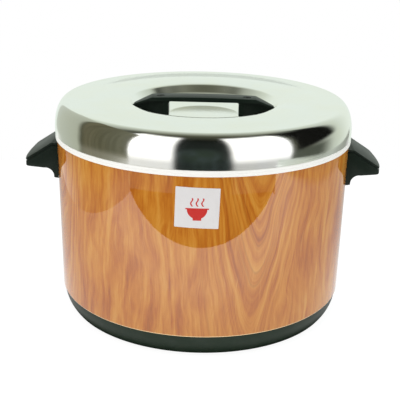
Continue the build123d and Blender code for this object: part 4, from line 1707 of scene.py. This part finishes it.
@dataclass(frozen=True)
class SunkenGrip:
    """The black handle across the lid's recess, with wings that run down to the recess's wall.

    Attributes:
        half_width: Half its width across.
        crown: How much its top is arched along its length.
        thickness: Thickness of the grip over the finger gap.
        flat_half: Half the length of its top.
        half_length: Half its whole length.
        tip_drop: Upper edge of a wing's tip below the top.
        tip_height: Height of that tip.
        tip_half_width: Half its width.
        taper_start: Where the wings start to narrow, from the middle.
        finger_gap: Half the length of the finger gap.
        finger_round: Rounding of the gap's upper corners.
        leg_half_width: Half the width of the legs.
        leg_end: Outer end of a leg's face, from the middle.
        wing_half_width: Half the width of a wing beside that face.
        wing_hollow: Radius of a wing's hollow face, seen from above.
        wing_lip: Depth of the lip over that face at the wing's tip.
        seat_gap: Room between legs and recess.
        screw_sink: Radius of the sinking for a screw's head.
        screw_seat: Seat of the heads below the top.
        leg: Width of a leg where it ends below.
        tip_share: Half a wing's width at the tip of its face, as a share of the tip's own.
        beside: How far the shapes that trim it reach past its sides.
        over: How far they reach over its top and under the recess's floor.
        edge: Rounding of the edges.
    """

    half_width: float = 13.0
    crown: float = 1.4
    thickness: float = 5.9
    flat_half: float = 67.0
    half_length: float = 91.8
    tip_drop: float = 12.4
    tip_height: float = 2.2
    tip_half_width: float = 3.5
    taper_start: float = 60.0
    finger_gap: float = 45.0
    finger_round: float = 3.0
    leg_half_width: float = 11.5
    leg_end: float = 52.0
    wing_half_width: float = 9.8
    wing_hollow: float = 95.0
    wing_lip: float = 2.6
    seat_gap: float = 0.2
    screw_sink: float = 5.0
    screw_seat: float = 3.5
    leg: float = 8.0
    tip_share: float = 0.8
    beside: float = 5.0
    over: float = 10.0
    edge: float = 0.9

    @property
    def top(self) -> float:
        """Height of the middle of the grip."""
        return heights("lid_handle")[1]

    def side(self) -> bpy.types.Object:
        """A block with the handle's outline seen from the front, finger gap and all."""
        end_z = self.top - self.crown
        tip_z = self.top - self.tip_drop
        low_z = tip_z - self.tip_height
        under = self.top - self.thickness
        foot = LID.floor_height - PAST
        half, gap, corner = self.half_length, self.finger_gap, self.finger_round
        arch = (self.flat_half ** 2 + self.crown ** 2) / (2 * self.crown)
        outline = Outline(View.SIDE, (-self.flat_half, end_z)).bend((self.flat_half, end_z), -arch, 24)
        outline.line((half, tip_z), (half, low_z), (gap + self.leg, foot), (gap, foot))
        outline.line((gap, under - corner)).arc((gap - corner, under - corner), 90, 6)
        outline.line((corner - gap, under)).arc((corner - gap, under - corner), 90, 6)
        outline.line((-gap, foot), (-gap - self.leg, foot), (-half, low_z), (-half, tip_z))
        return outline.push(-self.half_width - PAST, self.half_width + PAST)

    def plan(self) -> bpy.types.Object:
        """A block with the handle's outline seen from above."""
        start, end, wide, narrow = self.taper_start, self.half_length, self.half_width, self.tip_half_width
        bow = ((end - start) ** 2 + (wide - narrow) ** 2) / (2 * (wide - narrow))
        outline = Outline(View.PLAN, (-start, -wide))
        for side in (1, -1):
            outline.line((side * start, -side * wide)).bend((side * end, -side * narrow), bow, 12)
            outline.line((side * end, side * narrow)).bend((side * start, side * wide), bow, 12)
        return outline.push(LID.floor_height - self.over, self.top + self.over)

    def build(self) -> None:
        """Makes the handle and seats it in the recess."""
        grip = self.side()
        combine(grip, self.plan(), Cut.SHARED)
        round_edges(grip, self.edge, 18)
        for side in (-1, 1):
            combine(grip, self.cheek(side), Cut.AWAY)
            for wing in (-1, 1):
                combine(grip, self.wing_face(wing, side), Cut.AWAY)
        combine(grip, LID.skin(-self.seat_gap, solid=True).turn(), Cut.AWAY)
        high = self.top + PAST
        for side in (-1, 1):
            place = (side * LID.screw_place, 0)
            combine(grip, rod(self.screw_sink, self.top - self.screw_seat, high, place), Cut.AWAY)
            combine(grip, rod(LID.screw, LID.floor_height - LID.drill, high, place, steps=24), Cut.AWAY)
        smooth(grip, 28)
        ready(grip, "sunken_lid_grip", BLACK, Body.LID, "lid_handle")

    def cheek(self, side: int) -> bpy.types.Object:
        """The room beside the legs, under the grip."""
        end, low, high = self.half_length + PAST, LID.floor_height - 2 * PAST, self.top - self.thickness
        outline = Outline(View.SIDE, (-end, low)).line((end, low), (end, high), (-end, high))
        far = self.half_width + self.beside
        return outline.push(*sorted((side * self.leg_half_width, side * far)))

    def wing_face(self, wing: int, side: int) -> bpy.types.Object:
        """The room beside one wing, behind the face of its leg and under the wing's sloping top.

        Args:
            wing: 1 for the right wing and -1 for the left.
            side: -1 for its front and 1 for its back.

        Returns:
            The shape to cut away.
        """
        start, end = wing * self.leg_end, wing * (self.half_length + PAST)
        far = self.half_width + self.beside
        fall = (self.tip_drop - self.crown) / (self.half_length - self.flat_half)
        lip_z = self.top - self.tip_drop - self.wing_lip
        under = self.top - self.thickness
        knee = self.half_length - (under - lip_z) / fall
        foot = LID.floor_height - 2 * PAST
        profile = Outline(View.SIDE, (start, foot))
        profile.line((start, under), (wing * knee, under), (end, lip_z - fall), (end, foot))
        room = profile.push(-far, far)
        plan = Outline(View.PLAN, (start, side * far)).line((start, side * self.wing_half_width))
        tip = side * self.tip_half_width * self.tip_share
        plan.bend((end, tip), wing * side * self.wing_hollow, 16)
        plan.line((end, side * far))
        combine(room, plan.push(LID.floor_height - self.over, self.top + self.over), Cut.SHARED)
        return room


GRIP = SunkenGrip()

HANDLE_METAL = tuple(f"handle_{kind}_{side}" for kind in ("plate", "screws") for side in ("right", "left"))
CARRIED = (
    (ZINC, ("bottom_plate", "foot_screws", *HANDLE_METAL, "lid_handle_strip", "lid_handle_nuts")),
    (FOAM, ("body_insulation", "lid_insulation")),
    (RUBBER, tuple(f"rubber_foot_{index}" for index in range(1, 5))),
    (SILICONE, ("lid_gasket",)),
    (DARK_SCREW, ("lid_handle_screws",)),
)


def dress_carried() -> None:
    """Gives the pieces that come from the frame unchanged their finishes."""
    for finish, nodes in CARRIED:
        for node in nodes:
            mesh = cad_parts[node].data
            if not mesh.materials:
                mesh.materials.append(finish.material())
            for index in range(len(mesh.materials)):
                mesh.materials[index] = finish.material()


# The studio


@dataclass(frozen=True)
class Glow(Finish):
    """A plain light or dark surface of the studio, seen by its own light.

    Attributes:
        strength: How bright it is.
    """

    strength: float = 1.0

    def dress(self, bench: Bench, shader: bpy.types.Node) -> None:
        """Swaps the shader for plain emission."""
        bench.surface(bench.glow(self.colour, self.strength))


def front_light(bench: Bench) -> Signal:
    """How bright the studio's white surfaces are in reflections: most in front, less to the back."""
    front, run, peak, least, most = 280.0, 220.0, 1.7, 0.56, 2.8
    _, y, _ = bench.place()
    fall = ((y + front) / -run).math("EXPONENT") * peak + least
    return fall.math("MINIMUM", most)


@dataclass(frozen=True)
class WhiteFloor(Finish):
    """A white floor that keeps a soft shadow and reads as white to the camera.

    Attributes:
        lift: Share of its own light for the camera.
        white: Strength of that light.
        shade: Where the pot's shade starts and ends in reflections, from the axis.
    """

    lift: float = 0.82
    white: float = 1.12
    shade: Point = (176.0, 196.0)

    def dress(self, bench: Bench, shader: bpy.types.Node) -> None:
        """Mixes a plain matt floor with light of its own."""
        camera, glossy = bench.rays("Is Camera Ray"), bench.rays("Is Glossy Ray")
        matt = bench.node("ShaderNodeBsdfDiffuse", values={"Color": (0.9, 0.9, 0.9, 1.0)})
        x, y, _ = bench.place()
        light = camera * self.white + glossy * from_axis(x, y).smooth(*self.shade) * front_light(bench)
        share = (camera * self.lift).math("MAXIMUM", glossy)
        values = {0: share, 1: matt, 2: bench.glow(self.colour, light)}
        bench.surface(bench.node("ShaderNodeMixShader", values=values))


@dataclass(frozen=True)
class TentWall(Finish):
    """A wall of the light tent, seen by its own light, whose colour changes from front to back.

    Attributes:
        reach: Front and back ends of the wall, along Y in millimetres.
        stops: Its colours from front (0) to back (1).
        streaks: How strong its upright streaks are.
        lit: Whether it brightens to the front as the floor does.
        vein: Colour of the streaks.
        upper: Colour of a lit wall over its bright foot.
        pale: Colour low down in front.
        foot: Colour of the bright foot of a wall that isn't lit.
    """

    reach: Point = (-430.0, 600.0)
    stops: tuple[tuple[float, Colour], ...] = ((0.0, (1.0, 1.0, 1.0)), (1.0, (1.0, 1.0, 1.0)))
    streaks: float = 0.0
    lit: bool = False
    vein: Colour = (0.02, 0.022, 0.012)
    upper: Colour = (0.50, 0.54, 0.48)
    pale: Colour = (0.36, 0.35, 0.28)
    foot: Colour = (1.3, 1.3, 1.3)

    def dress(self, bench: Bench, shader: bpy.types.Node) -> None:
        """Lights the wall as the floor is lit, or lays colours along it, with streaks and a bright foot."""
        _, y, z = bench.place()
        if self.lit:
            foot = z.smooth(75.0, 50.0)
            strength = front_light(bench).math("MINIMUM", foot * 1.6 + 1.2)
            bench.surface(bench.glow(bench.blend(foot, self.upper, (1.0, 1.0, 1.0)), strength))
            return
        front, back = self.reach
        leant = y - (z - 260).math("MAXIMUM", 0.0) * 0.3
        share = (leant - front) / (back - front)
        colour = bench.node("ShaderNodeValToRGB", {"stops": self.stops}, {0: share})
        streak = bench.noise(bench.vector(y / 14, 0.0, z / 900), 1.0, 3.0, 0.6)
        veins = streak.smooth(0.62, 0.38) * y.smooth(0.0, -60.0) * self.streaks
        colour = bench.blend(veins, colour, self.vein)
        low_front = z.smooth(190.0, 60.0) * y.smooth(0.0, -60.0) * 0.7
        colour = bench.blend(low_front, colour, self.pale)
        open_ends = y.smooth(-210.0, -310.0) * 0.6 + y.smooth(-20.0, 150.0) * 0.4
        colour = bench.blend(z.smooth(105.0, 15.0) * (open_ends + 0.35), colour, self.foot)
        bench.surface(bench.glow(colour))


@dataclass(frozen=True)
class Studio:
    """Camera, white floor, walls of a light tent, cards and lamps.

    Attributes:
        camera_place: Where the camera stands, in metres.
        pan: Its turn to the right from +Y, in degrees.
        tilt: How far it looks down.
        roll: How far it is turned about its own line of sight.
        lens: Its focal length on a 36 mm sensor.
        floor_box: Left, right, front and back edges of the floor, in metres.
        left_wall: Height of the brown wall at the left.
        right_wall: Height of the white wall at the right.
        dark_radius: Reach of the dark floor in front of the white one, from the axis.
        key_power: Power of the soft lamp overhead, in watts.
        sky_stops: What glossy faces see of the sky from the front (0) to the back (1).
        haze: Colour of the haze low in front.
        sides: Colour of the dark sky high at the sides.
        shade: Colour under the right card's outer edge.
        stand: Colour of the dark stand beside that card.
        card: Light of the two white cards.
        dim: Light that matt faces get from the right; from the left it is 1.
    """

    camera_place: tuple[float, float, float] = (0.01539, -1.1019, 0.5203)
    pan: float = -0.92
    tilt: float = 19.24
    roll: float = 1.19
    lens: float = 78.48
    floor_box: tuple[float, float, float, float] = (-0.54, 0.555, -0.488, 0.6)
    left_wall: float = 0.78
    right_wall: float = 0.12
    dark_radius: float = 0.745
    key_power: float = 6.0
    sky_stops: tuple[tuple[float, Colour], ...] = (
        (0.0, (0.026, 0.040, 0.028)),
        (0.03, (0.010, 0.014, 0.012)),
        (0.14, (0.003, 0.005, 0.003)),
        (0.20, (0.024, 0.026, 0.016)),
        (0.27, (0.052, 0.054, 0.036)),
        (0.36, (0.082, 0.086, 0.058)),
        (0.44, (0.190, 0.200, 0.155)),
        (0.60, (0.40, 0.43, 0.36)),
        (0.78, (0.62, 0.68, 0.59)),
        (0.92, (0.80, 0.875, 0.80)),
    )
    haze: Colour = (0.036, 0.050, 0.050)
    sides: Colour = (0.03, 0.032, 0.022)
    shade: Colour = (0.075, 0.085, 0.065)
    stand: Colour = (0.004, 0.004, 0.003)
    card: Colour = (1.5, 1.5, 1.5)
    dim: Colour = (0.76, 0.79, 0.79)

    def build(self) -> None:
        """Sets up the whole studio."""
        self.camera()
        self.world()
        self.floor()
        self.walls()
        self.lamps()
        bpy.context.scene.view_settings.view_transform = "Standard"

    def camera(self) -> None:
        """The camera at the photograph's angle."""
        pan, tilt, roll = (math.radians(angle) for angle in (self.pan, self.tilt, self.roll))
        ahead = Vector((math.sin(pan) * math.cos(tilt), math.cos(pan) * math.cos(tilt), -math.sin(tilt)))
        right = ahead.cross(Vector((0, 0, 1))).normalized()
        up = right.cross(ahead)
        right, up = right * math.cos(roll) + up * math.sin(roll), up * math.cos(roll) - right * math.sin(roll)
        turn = Matrix((right, up, -ahead)).transposed().to_euler()
        bpy.ops.object.camera_add(location=self.camera_place, rotation=turn)
        camera = bpy.context.object
        camera.name = "camera"
        camera.data.lens = self.lens
        camera.data.sensor_width = 36.0
        camera.data.clip_start = 0.01
        bpy.context.scene.camera = camera

    def world(self) -> None:
        """White to the camera, an even pale light to matt faces, and a soft-box sky to glossy ones."""
        world = bpy.data.worlds.new("studio_sky")
        bpy.context.scene.world = world
        world.use_nodes = True
        bench = Bench(world.node_tree)
        way = bench.node("ShaderNodeTexCoord", output="Generated")
        x, y, z = (bench.node("ShaderNodeSeparateXYZ", values={0: way}, output=axis) for axis in range(3))
        # In degrees: height above level, and turn from straight in front to the right
        height = z.math("ARCSINE") * (180 / math.pi)
        turn = x.math("ARCTAN2", -y) * (180 / math.pi)
        sky = bench.node("ShaderNodeValToRGB", {"stops": self.sky_stops}, {0: y * 0.5 + 0.5})
        cloud = bench.noise(bench.vector(turn / 7, height / 16, 0.0), 1.0, 3.0, 0.6)
        haze = cloud.smooth(0.40, 0.72) * height.smooth(20, 4) * (y < -0.6)
        sky = bench.blend(haze, sky, self.haze)
        # The left and the right card, and what they share: their upper edge and their dimmer foot
        left = turn.smooth(-18.0, -23.5) * (turn + height.smooth(8, 35) * 6.5).smooth(-61, -56)
        right = (turn + height * 0.05).smooth(19.5, 25.5) * turn.smooth(71, 67.5)
        slant = (turn - 44).math("MAXIMUM", 0.0) * 0.12
        top = (height + slant).smooth(62, 47)
        sides = abs(x).smooth(0.30, 0.55) * y.smooth(0.15, -0.10) * height.smooth(25, 40)
        sky = bench.blend(sides * 0.65, sky, self.sides)
        foot = 1.0 - height.smooth(0, -24) * ((turn > 0.0) * 0.22 + 0.60)
        stand = turn.smooth(71, 77) * (height - (turn - 92) * 0.15).smooth(-4, 2) * turn.smooth(124, 112)
        under = turn.smooth(68, 73) * height.smooth(2, -5) * turn.smooth(118, 96)
        sky = bench.blend(under, sky, self.shade)
        sky = bench.blend(stand * height.smooth(68, 42), sky, self.stand)
        sky = bench.blend((left + right) * top * foot, sky, self.card)
        even = bench.blend(x.smooth(0.1, 0.9), (1.0, 1.0, 1.0), self.dim)
        seen = bench.blend(bench.rays("Is Glossy Ray"), even, sky)
        seen = bench.blend(bench.rays("Is Camera Ray"), seen, (1.0, 1.0, 1.0))
        world.node_tree.links.new(seen.socket, world.node_tree.nodes["Background"].inputs["Color"])

    def floor(self) -> None:
        """The white floor and the dark floor in front of it."""
        left, right, front, back = self.floor_box
        floor = sheet_between(Vector((left, front, 0)), Vector((right, back, 0)), "studio_floor")
        floor.data.materials.append(WhiteFloor("white_floor", (1.0, 1.0, 1.0), 0.9).material())
        deselect()
        bpy.ops.mesh.primitive_circle_add(
            vertices=96, radius=self.dark_radius, fill_type="NGON", location=(0, 0, -MM)
        )
        dark = settled(bpy.context.object)
        bpy.ops.object.mode_set(mode="EDIT")
        bpy.ops.mesh.select_all(action="SELECT")
        bpy.ops.mesh.bisect(plane_co=(0, front, 0), plane_no=(0, 1, 0), clear_outer=True)
        finish_edit()
        dark.name = "dark_floor"
        self.hide_from_matt(dark, Glow("dark_floor", (0.02, 0.022, 0.02), 1.0))

    def walls(self) -> None:
        """Side walls of the light tent, which only show in reflections."""
        left, right, front, back = self.floor_box
        brown = (
            (0.0, (0.16, 0.16, 0.11)),
            (0.25, (0.12, 0.115, 0.07)),
            (0.37, (0.14, 0.13, 0.08)),
            (0.405, (0.08, 0.08, 0.05)),
            (0.45, (0.42, 0.45, 0.37)),
            (1.0, (0.56, 0.60, 0.52)),
        )
        ends = (front / MM, back / MM)
        glow = TentWall("tent_wall_left", (1, 1, 1), 1.0, reach=ends, stops=brown, streaks=0.35)
        self.wall("left_wall", left, (front, back), self.left_wall, glow)
        glow = TentWall("tent_wall_right", (1, 1, 1), 1.0, lit=True)
        self.wall("right_wall", right, (-0.46, back), self.right_wall, glow)

    def wall(self, name: str, x: float, along: Point, height: float, glow: Finish) -> None:
        """One upright wall square to X."""
        sheet = sheet_between(Vector((x, along[0], 0)), Vector((x, along[1], height)), name)
        self.hide_from_matt(sheet, glow)

    @staticmethod
    def hide_from_matt(sheet: bpy.types.Object, glow: Finish) -> None:
        """Gives a sheet of the studio its glow and leaves it to show in reflections alone."""
        sheet.data.materials.append(glow.material())
        sheet.visible_camera = False
        sheet.visible_diffuse = False
        sheet.visible_shadow = False

    def lamps(self) -> None:
        """One broad soft lamp overhead, which matt faces see and polished ones don't."""
        deselect()
        bpy.ops.object.light_add(type="AREA", location=(0.1, -0.2, 1.6))
        lamp = bpy.context.object
        lamp.name = "overhead_lamp"
        lamp.data.shape = "DISK"
        lamp.data.size = 1.4
        lamp.data.energy = self.key_power
        lamp.visible_glossy = False


def sheet_between(low: Vector, high: Vector, name: str) -> bpy.types.Object:
    """A flat sheet between two opposite corners, level or upright."""
    middle = (low + high) / 2
    span = high - low
    deselect()
    bpy.ops.mesh.primitive_plane_add(size=1, location=middle)
    sheet = bpy.context.object
    if span.z > 0:
        sheet.rotation_euler = (0, math.radians(90), 0)
        sheet.scale = (span.z, span.y, 1)
    else:
        sheet.scale = (span.x, span.y, 1)
    sheet.name = name
    return settled(sheet)


def main() -> None:
    """Builds the rice warmer and its studio."""
    logging.basicConfig(level=logging.INFO)
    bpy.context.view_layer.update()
    for part in (PotCase(), HANDLE, FrontLabel(), Liner(), LID, GRIP):
        part.build()
    dress_carried()
    Studio().build()


if __name__ == "__main__":
    main()
